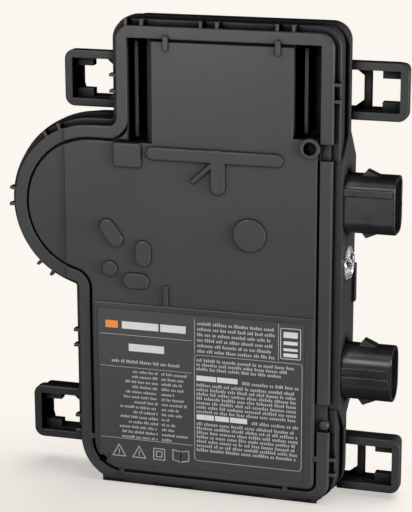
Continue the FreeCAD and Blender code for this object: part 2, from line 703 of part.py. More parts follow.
def box(label, x, y, z):
    """A block between the two values of x, of y and of z."""
    made = doc.addObject("Part::Box", label)
    for name, span in (("Length", x), ("Width", y), ("Height", z)):
        bind(made, name, as_size(span[1]) - as_size(span[0]))
    for name, span in (("x", x), ("y", y), ("z", z)):
        bind(made, "Placement.Base." + name, span[0])
    return made


TURNS = {
    "X": FreeCAD.Rotation(FreeCAD.Vector(0, 1, 0), 90),
    "Y": FreeCAD.Rotation(FreeCAD.Vector(1, 0, 0), -90),
    "Z": FreeCAD.Rotation(),
}


def cylinder(label, axis, start, length, radius):
    """A cylinder from the start point along the positive axis."""
    made = doc.addObject("Part::Cylinder", label)
    made.Placement = FreeCAD.Placement(FreeCAD.Vector(), TURNS[axis])
    bind(made, "Radius", radius)
    bind(made, "Height", length)
    for name, place in zip("xyz", start):
        bind(made, "Placement.Base." + name, place)
    return made


def cut(label, base, tool):
    made = doc.addObject("Part::Cut", label)
    made.Base = base
    made.Tool = tool
    return made


def fuse(label, shapes):
    made = doc.addObject("Part::MultiFuse", label)
    made.Shapes = shapes
    made.Refine = True
    return made


def group(label, shapes):
    made = doc.addObject("Part::Compound", label)
    made.Links = shapes
    return made


NODES = {}


def node(name, thing):
    thing.Label = name
    NODES[name] = thing
    return thing


# ---------------------------------------------------------------- front cover

def front_cover():
    cover = new_body("front_cover")
    face = depth(-S.face_proud)
    floor = depth(S.groove_depth)
    tongue = S.tongue_inset + S.slip

    pad(cover, "XZ", depth(NOTHING), depth(S.cover_back), outline(S.tongue_inset))
    pad(cover, "XZ", depth(NOTHING), depth(S.rim_depth), outline(NOTHING))
    pad(cover, "XZ", depth(NOTHING), depth(S.rim_depth),
        rectangle((S.foot_left, S.foot_right), (NOTHING, S.foot_rise)))
    dress(cover, "Fillet", S.rim_round,
          edges_in_plane(cover.Tip.Shape, 1, depth(NOTHING).value))
    tongue_foot = S.housing_wall + S.slip
    pad(cover, "XZ", depth(S.cover_back), depth(S.tongue_depth),
        outline(tongue, foot=tongue_foot),
        outline(tongue + S.tongue_wall, foot=tongue_foot + S.tongue_wall))
    gap = S.socket_height / 2 + S.flange_step + S.air
    for z in (S.socket_upper_z, S.socket_lower_z):
        pocket(cover, "XZ", depth(S.cover_back), depth(S.tongue_depth),
               rectangle((S.rim_right - S.rim_width, S.rim_right), (z - gap, z + gap)))
    pocket(cover, "XZ", depth(NOTHING), floor, outline(S.rim_width))

    # walls of the two channels, behind the plate
    slope_left = S.plate_left - S.plate_slope
    channel_top = S.rim_top - S.rim_width
    left_x = (S.tower_left + S.rim_width, slope_left)
    right_x = (S.plate_right, S.rim_right - S.rim_width)
    left_z = (S.channel_foot, channel_top)
    right_z = (S.channel_right_foot, channel_top)
    bottom = depth(S.channel_depth)
    wall = S.channel_wall
    for x, z in ((left_x, left_z), (right_x, right_z)):
        pad(cover, "XZ", depth(S.cover_back), bottom + wall,
            rectangle((x[0] - wall, x[1] + wall), (z[0] - wall, z[1] + wall)))

    # raised main face, its lower lobe segment and the label field
    pad(cover, "XZ", face, floor, outline(S.rim_width + S.groove_width))
    dress(cover, "Fillet", S.face_bevel, edges_in_plane(cover.Tip.Shape, 1, face.value))
    pocket(cover, "XZ", face, face + S.lobe_step,
           rectangle((S.lobe_x - S.lobe_radius, S.lobe_line),
                     (S.lobe_top - S.lobe_radius * 2, S.lobe_top)))
    field = face - S.label_step
    field_x = (S.low_left + S.rim_width + S.groove_width, S.rim_right - S.rim_width - S.groove_width)
    field_z = S.rim_width + S.groove_width
    field_left_r = S.foot_left_corner - S.rim_width - S.groove_width
    field_right_r = S.foot_right_corner - S.rim_width - S.groove_width
    inner = S.face_bevel
    pad(cover, "XZ", field, face,
        (draw_field, ((field_x[0] + inner, field_x[1] - inner), (field_z + inner, S.label_top),
                      field_left_r - inner, field_right_r - inner)))
    dress(cover, "Fillet", S.label_step * 0.8, edges_in_plane(cover.Tip.Shape, 1, field.value))

    # channels
    for x, z in ((left_x, left_z), (right_x, right_z)):
        pocket(cover, "XZ", face, bottom, rectangle(x, z))
    pocket(cover, "XZ", face, floor,
           rectangle((S.tower_left - S.rim_width, left_x[1]), (S.channel_foot, S.lobe_top - S.rim_width)))
    pocket(cover, "XY", S.channel_foot, channel_top,
           polygon((slope_left - S.slip, face - S.slip), (S.plate_left, face - S.slip),
                   (S.plate_left, face), (slope_left, face + S.slope_depth),
                   (slope_left - S.slip, face + S.slope_depth)))
    half = S.channel_rib / 2
    for x, z in ((S.left_rib_x, left_z), (S.right_rib_x, right_z)):
        pad(cover, "XZ", depth(S.rib_sink), bottom,
            rectangle((x - half, x + half), (z[0] + S.rib_gap, z[1] - S.rib_gap)))

    # raised shapes
    raised = face - S.pad_rise
    shapes = [
        stadium((S.bar_left, S.bar_z), (S.bar_right, S.bar_z), S.bar_radius),
        circle(S.boss_x, S.boss_z, S.boss_radius),
        stadium((S.pill_a_x - S.pill_a_run, S.pill_a_z + S.pill_a_drop),
                (S.pill_a_x + S.pill_a_run, S.pill_a_z - S.pill_a_drop), S.pill_radius),
        stadium((S.pill_b_x, S.pill_b_z - S.pill_b_half),
                (S.pill_b_x, S.pill_b_z + S.pill_b_half), S.pill_radius),
        circle(S.pill_c_x, S.pill_c_z, S.pill_radius),
        stadium((S.pill_d_x - S.pill_d_half, S.pill_d_z),
                (S.pill_d_x + S.pill_d_half, S.pill_d_z), S.pill_radius),
        rounded((S.square_left, S.square_right), (S.square_foot, S.channel_foot - S.slip), S.pad_rise),
    ]
    pad(cover, "XZ", raised, face, *shapes)
    pad(cover, "XZ", raised, face,
        stadium((S.stem_x, S.stem_foot), (S.stem_x, S.bar_z), S.stem_radius))
    pad(cover, "XZ", raised, face,
        stadium((S.stroke_x, S.stroke_z), (S.stroke_x + S.stroke_run, S.stroke_z + S.stroke_rise),
                S.stroke_radius))
    dress(cover, "Fillet", S.pad_bevel, edges_in_plane(cover.Tip.Shape, 1, raised.value))

    # ring boss at the foot of the right channel
    ring_face = face - S.ring_rise
    pad(cover, "XZ", ring_face, depth(S.cover_back), circle(S.ring_x, S.ring_z, S.ring_radius))
    pocket(cover, "XZ", ring_face, face + S.ring_sink - S.ring_rise,
           circle(S.ring_x, S.ring_z, S.ring_bore))

    # small rib, clips and bridges
    half = S.tab_width / 2
    pad(cover, "XZ", field, face, rectangle((S.tab_x - half, S.tab_x + half), (S.label_top, S.tab_top)))
    half = S.clip_width / 2
    for x in (S.clip_left, S.clip_right):
        pad(cover, "XZ", depth(-S.face_proud - S.label_step), floor,
            rectangle((x - half, x + half), (S.clip_foot, S.rim_top - S.rim_width + S.groove_width)))
    half = S.bridge_width / 2
    reach = S.rim_width - S.groove_width
    for x in (S.bridge_left_x, S.bridge_right_x):
        pad(cover, "XZ", depth(-S.face_proud), floor,
            rectangle((x - half, x + half), (reach, S.rim_width + S.groove_width + half)))
    level = (S.bridge_side_z - half, S.bridge_side_z + half)
    pad(cover, "XZ", depth(-S.face_proud), floor,
        rectangle((S.low_left + reach, field_x[0] + half), level),
        rectangle((field_x[1] - half, S.rim_right - reach), level))

    # locating hole, with its own boss behind
    pad(cover, "XZ", depth(S.cover_back), field + S.locating_depth + S.boss_wall,
        circle(S.locating_x, S.locating_z, S.locating_radius + S.boss_wall))
    pocket(cover, "XZ", field, field + S.locating_depth,
           circle(S.locating_x, S.locating_z, S.locating_radius))

    rim_details(cover)
    return node("front_cover", cover)


def draw_field(sketch, x, z, left_radius, right_radius):
    """The label field: square at the top, round at its two lower corners."""
    left, right = x
    low, high = z
    a, b = left_radius, right_radius
    index = len(sketch.Geometry)
    sketch.addGeometry(line((left.value + a.value, low.value), (right.value - b.value, low.value)), False)
    sketch.addGeometry(arc((right.value - b.value, low.value + b.value), b.value, 270, 360), False)
    sketch.addGeometry(line((right.value, low.value + b.value), (right.value, high.value)), False)
    sketch.addGeometry(line((right.value, high.value), (left.value, high.value)), False)
    sketch.addGeometry(line((left.value, high.value), (left.value, low.value + a.value)), False)
    sketch.addGeometry(arc((left.value + a.value, low.value + a.value), a.value, 180, 270), False)
    for step, kind in enumerate(("Tangent", "Tangent", "Coincident", "Coincident", "Tangent", "Tangent")):
        following = index + (step + 1) % 6
        sketch.addConstraint(Sketcher.Constraint(kind, index + step, 2, following, 1))
    fix_point(sketch, index + 1, 3, right - b, low + b)
    fix_point(sketch, index + 5, 3, left + a, low + a)
    fix_point(sketch, index + 3, 1, right, high)
    fix_point(sketch, index + 3, 2, left, high)
    constrain(sketch, Sketcher.Constraint("Radius", index + 1, b.value), b)
    constrain(sketch, Sketcher.Constraint("Radius", index + 5, a.value), a)


def rim_details(cover):
    """Rib pairs round the rim, its two notches with the ball, and the slots of the foot."""
    front = depth(S.tick_front)
    back = depth(S.ledge_depth)
    half = S.tick_width / 2
    reach = S.tick_reach
    root = S.rim_width / 2
    top = (S.rim_top - root, S.rim_top + reach)
    tower = (S.tower_left - reach, S.tower_left + root)
    low_left = (S.low_left - reach, S.low_left + root)
    right = (S.rim_right - root, S.rim_right + reach)
    pairs = []
    for side in (-0.5, 0.5):
        shift = S.tick_pitch * side
        for x in (S.tick_top_left_x, S.tick_top_middle_x, S.tick_top_right_x):
            pairs.append(rectangle((x + shift - half, x + shift + half), top))
        for across, z in ((tower, S.tick_tower_z), (low_left, S.tick_side_high_z),
                          (low_left, S.tick_side_low_z), (right, S.tick_right_high_z),
                          (right, S.tick_right_low_z)):
            pairs.append(rectangle(across, (z + shift - half, z + shift + half)))
    pad(cover, "XZ", front, back, *pairs)
    for turn in LOBE_TICK_DEGREES:
        for side in (-0.5, 0.5):
            lobe_tick(cover, turn + math.degrees(S.tick_pitch.value * side / S.lobe_radius.value),
                      front, back)

    low_x = S.rim_right - S.rim_width - S.slip
    for high, low in ((S.notch_top, S.notch_top_foot), (S.notch_low_top, S.notch_low_foot)):
        pocket(cover, "XZ", depth(-S.face_proud), depth(S.rim_depth),
               rectangle((low_x, S.rim_right + reach), (low, high)))
    ball = depth(S.rim_depth) - S.ball_rise
    pad(cover, "XZ", ball, depth(S.cover_back),
        circle(S.rim_right - S.rim_width / 2, S.notch_low_foot + S.ball_height, S.ball_radius))
    dress(cover, "Fillet", S.ball_round, edges_in_plane(cover.Tip.Shape, 1, ball.value))

    half = S.foot_slot_height / 2
    slots = []
    for start, end in FOOT_SLOTS:
        slots.append(stadium((as_size(start), S.foot_slot_z), (as_size(end), S.foot_slot_z), half))
    pocket(cover, "XZ", depth(NOTHING), depth(S.foot_slot_depth), *slots)


def lobe_tick(cover, degrees, front, back):
    """One rib across the rim of the lobe, at this angle round its centre."""
    angle = math.radians(degrees)
    out = (math.cos(angle), math.sin(angle))
    along = (-out[1], out[0])
    centre_z = S.lobe_top - S.lobe_radius
    half = S.tick_width / 2
    corners = []
    for radial, sideways in ((S.lobe_radius - S.rim_width / 2, -half), (S.lobe_radius + S.tick_reach, -half),
                             (S.lobe_radius + S.tick_reach, half), (S.lobe_radius - S.rim_width / 2, half)):
        corners.append((S.lobe_x + radial * out[0] + sideways * along[0],
                        centre_z + radial * out[1] + sideways * along[1]))
    pad(cover, "XZ", front, back, polygon(*corners))


# ---------------------------------------------------------------- rear housing

def rear_housing():
    shell = new_body("rear_housing")
    back = depth(S.back_depth)
    lip = depth(S.lip_depth)
    lip_back = lip + S.lip_thick
    hollow = S.hollow_round
    lip_shape = dict(top=-S.lip_top_proud, foot=NOTHING, drop=S.lip_drop, hollow=hollow)

    pad(shell, "XZ", depth(S.ledge_depth), lip_back,
        outline(-S.ledge_proud, foot=NOTHING, hollow=hollow))
    dress(shell, "Fillet", S.bead_rise, edges_in_plane(shell.Tip.Shape, 1, depth(S.ledge_depth).value))
    pad(shell, "XZ", lip, lip_back, outline(-S.lip_proud, **lip_shape))
    pad(shell, "XZ", lip - S.bead_rise, lip, outline(-S.lip_proud, **lip_shape),
        outline(S.bead_width - S.lip_proud, top=S.bead_width - S.lip_top_proud, foot=S.bead_width,
                drop=S.lip_drop, hollow=hollow + S.bead_width))
    pad(shell, "XZ", lip_back, back, outline(-S.shell_proud, foot=NOTHING, hollow=hollow))
    dress(shell, "Fillet", S.back_round, edges_in_plane(shell.Tip.Shape, 1, back.value))
    port_wall(shell)
    pocket(shell, "XZ", depth(S.ledge_depth), back - S.back_wall,
           outline(S.housing_wall - S.ledge_proud, foot=S.housing_wall, hollow=hollow + S.housing_wall))
    back_face(shell)
    wall_openings(shell)
    node("rear_housing", shell)
    bracket_loops(shell)


def port_wall(shell):
    """The thick wall on the right that carries both sockets and the status lens."""
    top, foot = S.port_top, S.port_foot
    drawn_in = S.port_wall - S.port_taper
    inner = S.rim_right + S.ledge_proud - S.housing_wall
    # the lip stops at both ends of the wall
    beyond = S.rim_right + S.lip_proud + S.slip
    pocket(shell, "XZ", depth(S.lip_depth) - S.bead_rise, depth(S.lip_depth) + S.lip_thick,
           rectangle((drawn_in, beyond), (foot, top)))
    # seen from the front the wall draws in at both ends
    pad(shell, "XZ", depth(S.lip_depth), depth(S.back_depth) - S.port_back_step,
        polygon((inner, foot), (drawn_in, foot), (S.port_wall, foot + S.port_slope),
                (S.port_wall, top - S.port_slope), (drawn_in, top), (inner, top)))
    # seen from the side its front slopes back to the lip at both ends
    pad(shell, "YZ", inner + S.slip, S.port_wall,
        polygon((depth(S.port_front), foot + S.port_slope), (depth(S.port_front), top - S.port_slope),
                (depth(S.lip_depth), top), (depth(S.lip_depth) + S.lip_thick, top),
                (depth(S.lip_depth) + S.lip_thick, foot), (depth(S.lip_depth), foot)))
    pad(shell, "XZ", depth(S.bar_rib_depth), depth(S.back_depth) - S.back_round,
        rectangle((S.port_wall - S.housing_wall, S.port_wall + S.bar_rib_proud),
                  (S.bar_rib_foot, S.bar_rib_top)))


def bracket_loops(shell):
    """Four loops beside the corners, which the mounting bracket slides into."""
    for name, edge, side, foot in (
            ("upper_left", S.tower_left, -1, S.loop_up_left_z),
            ("upper_right", S.rim_right, 1, S.loop_up_right_z),
            ("lower_left", S.low_left, -1, S.loop_low_left_z),
            ("lower_right", S.rim_right, 1, S.loop_low_right_z)):
        loop = bracket_loop(name, edge, side, foot)
        node("bracket_loop_" + name, cut("bracket_loop_" + name, loop, shell))


def bracket_loop(name, edge, side, foot):
    """A drafted frame with a back web, two lugs, and a strut or gussets beside the housing."""
    loop = new_body("loop_" + name)
    front, back = depth(S.loop_depth), depth(S.loop_back)
    step, web_front = depth(S.loop_step_depth), depth(S.loop_web_depth)
    top = foot + S.loop_height

    def across(distance):
        """X at this distance beyond the rim, on the loop's own side."""
        return edge + distance * side

    def span(near, far):
        return (across(near), across(far)) if side > 0 else (across(far), across(near))

    root = S.shell_proud - S.loop_root
    buried = root - S.loop_corner * 2
    for start, end, inset, bar in ((front, step, NOTHING, S.loop_bar),
                                   (step, back, S.loop_step, S.loop_back_bar)):
        corner = S.loop_corner - inset
        pad(loop, "XZ", start, end, rounded(span(buried, S.loop_reach - inset),
                                            (foot + inset, top - inset), corner))
        if start is front:
            dress(loop, "Fillet", S.loop_edge, edges_in_plane(loop.Tip.Shape, 1, front.value))
        edge_in = inset + bar
        pocket(loop, "XZ", start, end, rectangle(span(buried, S.loop_reach - edge_in),
                                                 (foot + edge_in, top - edge_in)))
    pocket(loop, "XZ", front, back, rectangle(span(buried - S.slip, root), (foot - S.slip, top + S.slip)))

    bar = S.loop_step + S.loop_back_bar
    inner = S.loop_reach - bar
    web = inner - S.loop_web
    hollow = inner - S.loop_web_thin
    middle = foot + S.loop_height / 2
    low, high = foot + bar, top - bar
    pad(loop, "XZ", web_front, back,
        polygon((across(inner), low), (across(inner), high), (across(web), high),
                (across(web), middle + S.loop_arc), (across(hollow), middle + S.loop_arc * 0.5),
                (across(hollow), middle - S.loop_arc * 0.5), (across(web), middle - S.loop_arc),
                (across(web), low)))
    lugs = span(inner - S.lug_length, inner)
    pad(loop, "XZ", depth(S.lug_depth) + S.loop_edge, depth(S.lug_back),
        rectangle(lugs, (low, low + S.lug_height)), rectangle(lugs, (high - S.lug_height, high)))
    rise, run = S.gusset_rise, S.gusset_run
    if side > 0:
        near = S.lip_proud + S.strut_gap
        far = near + S.strut_width
        pad(loop, "XZ", web_front, back,
            polygon((across(near - run), low), (across(far), low), (across(far), high),
                    (across(near - run), high), (across(near), high - rise),
                    (across(near), low + rise)))
    else:
        near = S.lip_proud
        for level, sign in ((low, 1), (high, -1)):
            pad(loop, "XZ", front + S.loop_edge, back,
                polygon((across(root), level), (across(near + run), level),
                        (across(near), level + rise * sign), (across(root), level + rise * sign)))
    return loop


def back_face(shell):
    """Three recessed panels with stiffening ribs."""
    back = depth(S.back_depth)
    floor = back - S.panel_sink
    inset = S.panel_inset
    right = S.rim_right - inset
    beside_socket = S.lobe_x + S.ac_radius + inset
    panels = [
        (S.low_left + inset, inset, S.panel_low_top),
        (beside_socket, S.panel_low_top + S.panel_gap, S.panel_mid_top),
        (S.tower_left + inset, S.panel_mid_top + S.panel_gap, S.rim_top - inset),
    ]
    half = S.back_rib_width / 2
    for left, low, high in panels:
        pocket(shell, "XZ", floor, back, rounded((left, right), (low, high), S.panel_corner))
        ribs = []
        for share in (1, 2):
            z = low + (high - low) * (share / 3.0)
            ribs.append(rectangle((left - half, right + half), (z - half, z + half)))
        pad(shell, "XZ", floor, back, *ribs)


def wall_openings(shell):
    """Holes for the two sockets, the status lens and the socket in the back of the lobe."""
    middle = depth(S.socket_middle)
    inner = wall_face() - S.air
    seal_end = wall_face() + S.seal_length + S.slip * 2
    for z, corner in ((S.socket_upper_z, S.socket_upper_corner),
                      (S.socket_lower_z, S.socket_lower_corner)):
        for end, gap in ((seal_end, S.seal_thick), (S.port_wall, S.slip)):
            half_y = S.socket_width / 2 + gap
            half_z = S.socket_height / 2 + gap
            pocket(shell, "YZ", inner, end,
                   rounded((middle - half_y, middle + half_y), (z - half_z, z + half_z),
                           corner + gap))
    pocket(shell, "YZ", inner, S.port_wall,
           circle(depth(S.lens_middle), S.lens_z, S.lens_stem + S.slip))
    back = depth(S.back_depth)
    pocket(shell, "XZ", back - S.back_wall, back,
           circle(S.lobe_x, S.lobe_top - S.lobe_radius, S.ac_body + S.slip))


# ---------------------------------------------------------------- sockets, seals and pins

def wall_face():
    """X of the inner face of the connector wall."""
    return S.rim_right + S.ledge_proud - S.housing_wall


def dc_socket(which, z, corner, ribs):
    """A two pole socket that is pushed out through the connector wall from inside."""
    socket = new_body("dc_socket_" + which)
    middle = depth(S.socket_middle)
    front, back = middle - S.socket_width / 2, middle + S.socket_width / 2
    low, high = z - S.socket_height / 2, z + S.socket_height / 2
    flange_end = wall_face() - S.slip
    flange_start = flange_end - S.flange_thick
    step = S.flange_step
    pad(socket, "YZ", flange_start, S.socket_end, rounded((front, back), (low, high), corner))
    dress(socket, "Fillet", S.mouth_round,
          edges_in_plane(socket.Tip.Shape, 0, S.socket_end.value))
    pad(socket, "YZ", flange_start, flange_end,
        rounded((front - S.slip, back + step), (low - step, high + step), corner))
    skin = S.socket_skin
    pocket(socket, "YZ", S.socket_floor, S.socket_end,
           rounded((front + skin, back - skin), (low + skin, high - skin), corner - skin))
    half = S.pin_pitch / 2
    pad(socket, "YZ", S.socket_floor, S.sleeve_end,
        circle(middle, z - half, S.sleeve_radius), circle(middle, z + half, S.sleeve_radius))
    pocket(socket, "YZ", S.socket_floor, S.sleeve_end,
           circle(middle, z - half, S.sleeve_bore), circle(middle, z + half, S.sleeve_bore))
    pocket(socket, "YZ", flange_start, S.socket_floor,
           circle(middle, z - half, S.pin_radius), circle(middle, z + half, S.pin_radius))
    half = S.rib_width / 2
    for level in ribs:
        pad(socket, "YZ", S.port_wall, S.socket_end - S.rib_end_gap,
            rectangle((front - S.rib_rise, front + skin / 2), (level - half, level + half)))
    latch_ramps(socket, middle, low, high)
    return node("dc_socket_" + which, socket)


def latch_ramps(socket, middle, low, high):
    """Wedges above and below that the plug's latches snap over."""
    peak = S.ramp_start + S.ramp_steep
    toe = S.ramp_start + S.ramp_length
    root = S.socket_skin / 2
    half = S.ramp_width / 2
    pad(socket, "XZ", middle - half, middle + half,
        polygon((S.ramp_start, high - root), (toe, high - root), (toe, high),
                (peak, high + S.ramp_rise), (S.ramp_start, high)))
    pad(socket, "XZ", middle - half, middle + half,
        polygon((S.ramp_start, low + root), (S.ramp_start, low), (peak, low - S.ramp_rise),
                (toe, low), (toe, low + root)))


def dc_seal(which, z, corner):
    """Rubber ring between a socket and the hole in the connector wall."""
    seal = new_body("dc_seal_" + which)
    middle = depth(S.socket_middle)
    half_y, half_z = S.socket_width / 2, S.socket_height / 2
    ring = S.seal_thick
    start = wall_face() + S.slip
    pad(seal, "YZ", start, start + S.seal_length,
        rounded((middle - half_y - ring, middle + half_y + ring),
                (z - half_z - ring, z + half_z + ring), corner + ring),
        rounded((middle - half_y, middle + half_y), (z - half_z, z + half_z), corner))
    return node("dc_seal_" + which, seal)


def dc_pins(which, z):
    """Two round contact pins, each with a terminal that is soldered to the board."""
    middle = depth(S.socket_middle)
    start = wall_face() - S.slip - S.flange_thick
    board = depth(S.board_front)
    pieces = []
    for number, side in enumerate((-0.5, 0.5), start=1):
        level = z + S.pin_pitch * side
        name = "dc_pin_%s_%d" % (which, number)
        half = S.terminal_width / 2
        thick = S.terminal_thick
        pin = cylinder(name + "_rod", "X", (start, middle, level), S.pin_end - start, S.pin_radius)
        strap = box(name + "_strap", (S.terminal_end, start), (middle - thick / 2, middle + thick / 2),
                    (level - half, level + half))
        leg = box(name + "_leg", (S.terminal_end, S.terminal_end + thick),
                  (middle - thick / 2, board), (level - half, level + half))
        pieces.append(fuse(name, [pin, strap, leg]))
    return node("dc_pins_" + which, group("dc_pins_" + which, pieces))


def status_lens():
    """Clear lens on the connector wall: a domed head and a stem through the wall."""
    lens = new_body("status_lens")
    y = depth(S.lens_middle)
    edge = S.port_wall + S.lens_edge
    pad(lens, "YZ", S.lens_stem_end, S.port_wall, circle(y, S.lens_z, S.lens_stem))
    pad(lens, "YZ", S.port_wall, edge + S.lens_rise, circle(y, S.lens_z, S.lens_radius))
    dress(lens, "Fillet", S.lens_rise * 0.98,
          edges_in_plane(lens.Tip.Shape, 0, (edge + S.lens_rise).value))
    return node("status_lens", lens)


def status_lamp():
    half = S.lamp_side / 2
    y = depth(S.lens_middle)
    head = box("lamp_head", (S.lamp_start, S.lens_stem_end - S.slip), (y - half, y + half),
               (S.lens_z - half, S.lens_z + half))
    lead = S.lamp_lead
    leads = []
    for number, side in enumerate((-1, 1), start=1):
        z = S.lens_z + half * side * 0.6
        leads.append(box("lamp_lead_%d" % number, (S.lamp_start, S.lamp_start + lead),
                         (y + half, depth(S.board_front)), (z - lead / 2, z + lead / 2)))
    return node("status_lamp", fuse("status_lamp", [head] + leads))


def ac_socket():
    """Round socket for the line cable, seated in the back of the lobe from inside."""
    socket = new_body("ac_socket")
    z = S.lobe_top - S.lobe_radius
    mouth = depth(S.back_depth) - S.ac_mouth_sink
    floor_front = depth(S.ac_depth)
    flange_back = depth(S.back_depth) - S.back_wall - S.ac_seal
    here = (S.lobe_x, z)
    pad(socket, "XZ", floor_front, mouth, circle(*here, S.ac_body))
    dress(socket, "Fillet", S.mouth_round, edges_in_plane(socket.Tip.Shape, 1, mouth.value))
    pad(socket, "XZ", flange_back - S.ac_flange, flange_back, circle(*here, S.ac_radius))
    pocket(socket, "XZ", floor_front + S.ac_floor, mouth, circle(*here, S.ac_bore))
    half = S.ac_key / 2
    pad(socket, "XZ", floor_front + S.ac_floor, mouth - S.ac_floor,
        rectangle((S.lobe_x + S.ac_bore - S.ac_key, S.lobe_x + S.ac_bore + half), (z - half, z + half)),
        rectangle((S.lobe_x - S.ac_bore - half, S.lobe_x - S.ac_bore + S.ac_key), (z - half, z + half)))
    gap = S.ac_pin_pitch / 2
    pocket(socket, "XZ", floor_front, floor_front + S.ac_floor,
                     circle(S.lobe_x, z - gap, S.ac_pin_radius),
                     circle(S.lobe_x, z + gap, S.ac_pin_radius))
    return node("ac_socket", socket)


def ac_seal():
    seal = new_body("ac_seal")
    z = S.lobe_top - S.lobe_radius
    inner_back = depth(S.back_depth) - S.back_wall
    pad(seal, "XZ", inner_back - S.ac_seal, inner_back,
        circle(S.lobe_x, z, S.ac_radius), circle(S.lobe_x, z, S.ac_body + S.slip))
    return node("ac_seal", seal)


def ac_pins():
    """Two line pins with straps that run to the board."""
    centre_z = S.lobe_top - S.lobe_radius
    front = depth(S.ac_pin_front)
    thick = S.terminal_thick
    pieces = []
    for number, side in enumerate((-0.5, 0.5), start=1):
        z = centre_z + S.ac_pin_pitch * side
        name = "ac_pin_%d" % number
        half = S.terminal_width / 2
        rod = cylinder(name + "_rod", "Y", (S.lobe_x, front, z),
                       depth(S.ac_pin_back) - front, S.ac_pin_radius)
        strap = box(name + "_strap", (S.lobe_x, S.ac_leg), (front, front + thick), (z - half, z + half))
        leg = box(name + "_leg", (S.ac_leg - thick, S.ac_leg), (front, depth(S.board_front)),
                  (z - half, z + half))
        pieces.append(fuse(name, [rod, strap, leg]))
    return node("ac_pins", group("ac_pins", pieces))


def rating_label():
    label = new_body("rating_label")
    face = depth(-S.face_proud - S.label_step)
    pad(label, "XZ", face - S.film, face,
        rounded((S.film_left, S.film_right), (S.film_foot, S.film_top), S.film_corner))
    pocket(label, "XZ", face - S.film, face,
           rectangle((S.film_left - S.slip, S.film_left + S.film_notch_width),
                     (S.film_foot - S.slip, S.film_foot + S.film_notch_height)))
    return node("rating_label", label)


# ---------------------------------------------------------------- circuit board and its parts

def circuit_board():
    board = new_body("circuit_board")
    front = depth(S.board_front)
    pad(board, "XZ", front, front + S.board_thick, outline(S.board_inset))
    here = (S.lobe_x, S.lobe_top - S.lobe_radius)
    pocket(board, "XZ", front, front + S.board_thick, circle(*here, S.board_bore))
    pocket(board, "XZ", front, front + S.board_thick,
           rectangle((S.lobe_x - S.lobe_radius, S.lobe_x),
                     (S.lobe_top - S.lobe_radius * 2, S.lobe_top)))
    return node("circuit_board", board)


def standing_box(name, x, length, z, width, height):
    """A component that stands on the front of the board."""
    board = depth(S.board_front)
    return box(name, (x, x + length), (board - height, board), (z, z + width))


def input_capacitors():
    y = depth(S.board_front) - S.cap_radius - S.air
    cans = []
    for number in range(4):
        x = S.cap_first + S.cap_pitch * number
        cans.append(cylinder("input_capacitor_%d" % (number + 1), "Z", (x, y, S.cap_foot),
                             S.cap_length, S.cap_radius))
    return node("input_capacitors", group("input_capacitors", cans))


def transformer_core(name, front, back, yoke_at_front):
    """One E shaped half: a yoke with two outer legs and a round centre post."""
    left, right = S.core_x - S.core_width / 2, S.core_x + S.core_width / 2
    low, high = S.core_z - S.core_height / 2, S.core_z + S.core_height / 2
    if yoke_at_front:
        yoke = (front, front + S.core_yoke)
    else:
        yoke = (back - S.core_yoke, back)
    pieces = [
        box(name + "_yoke", (left, right), yoke, (low, high)),
        box(name + "_left_leg", (left, left + S.core_leg), (front, back), (low, high)),
        box(name + "_right_leg", (right - S.core_leg, right), (front, back), (low, high)),
        cylinder(name + "_post", "Y", (S.core_x, front, S.core_z), back - front, S.core_post),
    ]
    return node(name, fuse(name, pieces))


def transformer():
    front, back = depth(S.core_front), depth(S.core_back)
    middle = (front + back) / 2
    transformer_core("transformer_core_front", front, middle, True)
    transformer_core("transformer_core_back", middle, back, False)
    start = front + S.core_yoke + S.slip
    end = back - S.core_yoke - S.slip
    wall = S.bobbin_wall
    here = (S.core_x, S.core_z)
    bobbin = new_body("transformer_bobbin")
    pad(bobbin, "XZ", start, end, circle(*here, S.coil_inner), circle(*here, S.core_post + S.slip))
    pad(bobbin, "XZ", start, start + wall, circle(*here, S.coil_outer), circle(*here, S.coil_inner))
    pad(bobbin, "XZ", end - wall, end, circle(*here, S.coil_outer), circle(*here, S.coil_inner))
    pad(bobbin, "XZ", (start + end - wall) / 2, (start + end + wall) / 2,
        circle(*here, S.coil_outer), circle(*here, S.coil_inner))
    node("transformer_bobbin", bobbin)
    spans = {
        "primary_winding": (start + wall, (start + end - wall) / 2),
        "secondary_winding": ((start + end + wall) / 2, end - wall),
    }
    for name, (low, high) in spans.items():
        winding = new_body(name)
        pad(winding, "XZ", low, high, circle(*here, S.coil_outer - S.slip), circle(*here, S.coil_inner))
        node(name, winding)


def ring_choke(core_name, winding_name, x, z, outer, inner, thick, turns):
    """A ring core that lies in front of the board, with turns of square wire round it."""
    back = depth(S.board_front) - S.ring_core_gap
    core = new_body(core_name)
    pad(core, "XZ", back - thick, back, circle(x, z, outer), circle(x, z, inner))
    node(core_name, core)
    loops = []
    wire = S.wire
    half = S.turn_width / 2
    for number in range(turns):
        name = "%s_turn_%d" % (winding_name, number + 1)
        outside = box(name + "_outside", (inner - S.slip - wire, outer + wire), (back - thick - wire, back + wire),
                      (-half, half))
        inside = box(name + "_inside", (inner - S.slip, outer), (back - thick, back),
                     (-half - S.slip, half + S.slip))
        turn = cut(name, outside, inside)
        angle = 360.0 * (number + 0.5) / turns
        turn.Placement = FreeCAD.Placement(FreeCAD.Vector(),
                                           FreeCAD.Rotation(FreeCAD.Vector(0, 1, 0), angle))
        bind(turn, "Placement.Base.x", x)
        bind(turn, "Placement.Base.z", z)
        loops.append(turn)
    node(winding_name, group(winding_name, loops))


def row_of_boxes(name, count, x, length, z, pitch, width, height):
    items = []
    for number in range(count):
        items.append(standing_box("%s_%d" % (name, number + 1), x, length, z + pitch * number,
                                  width, height))
    return node(name, group(name, items))


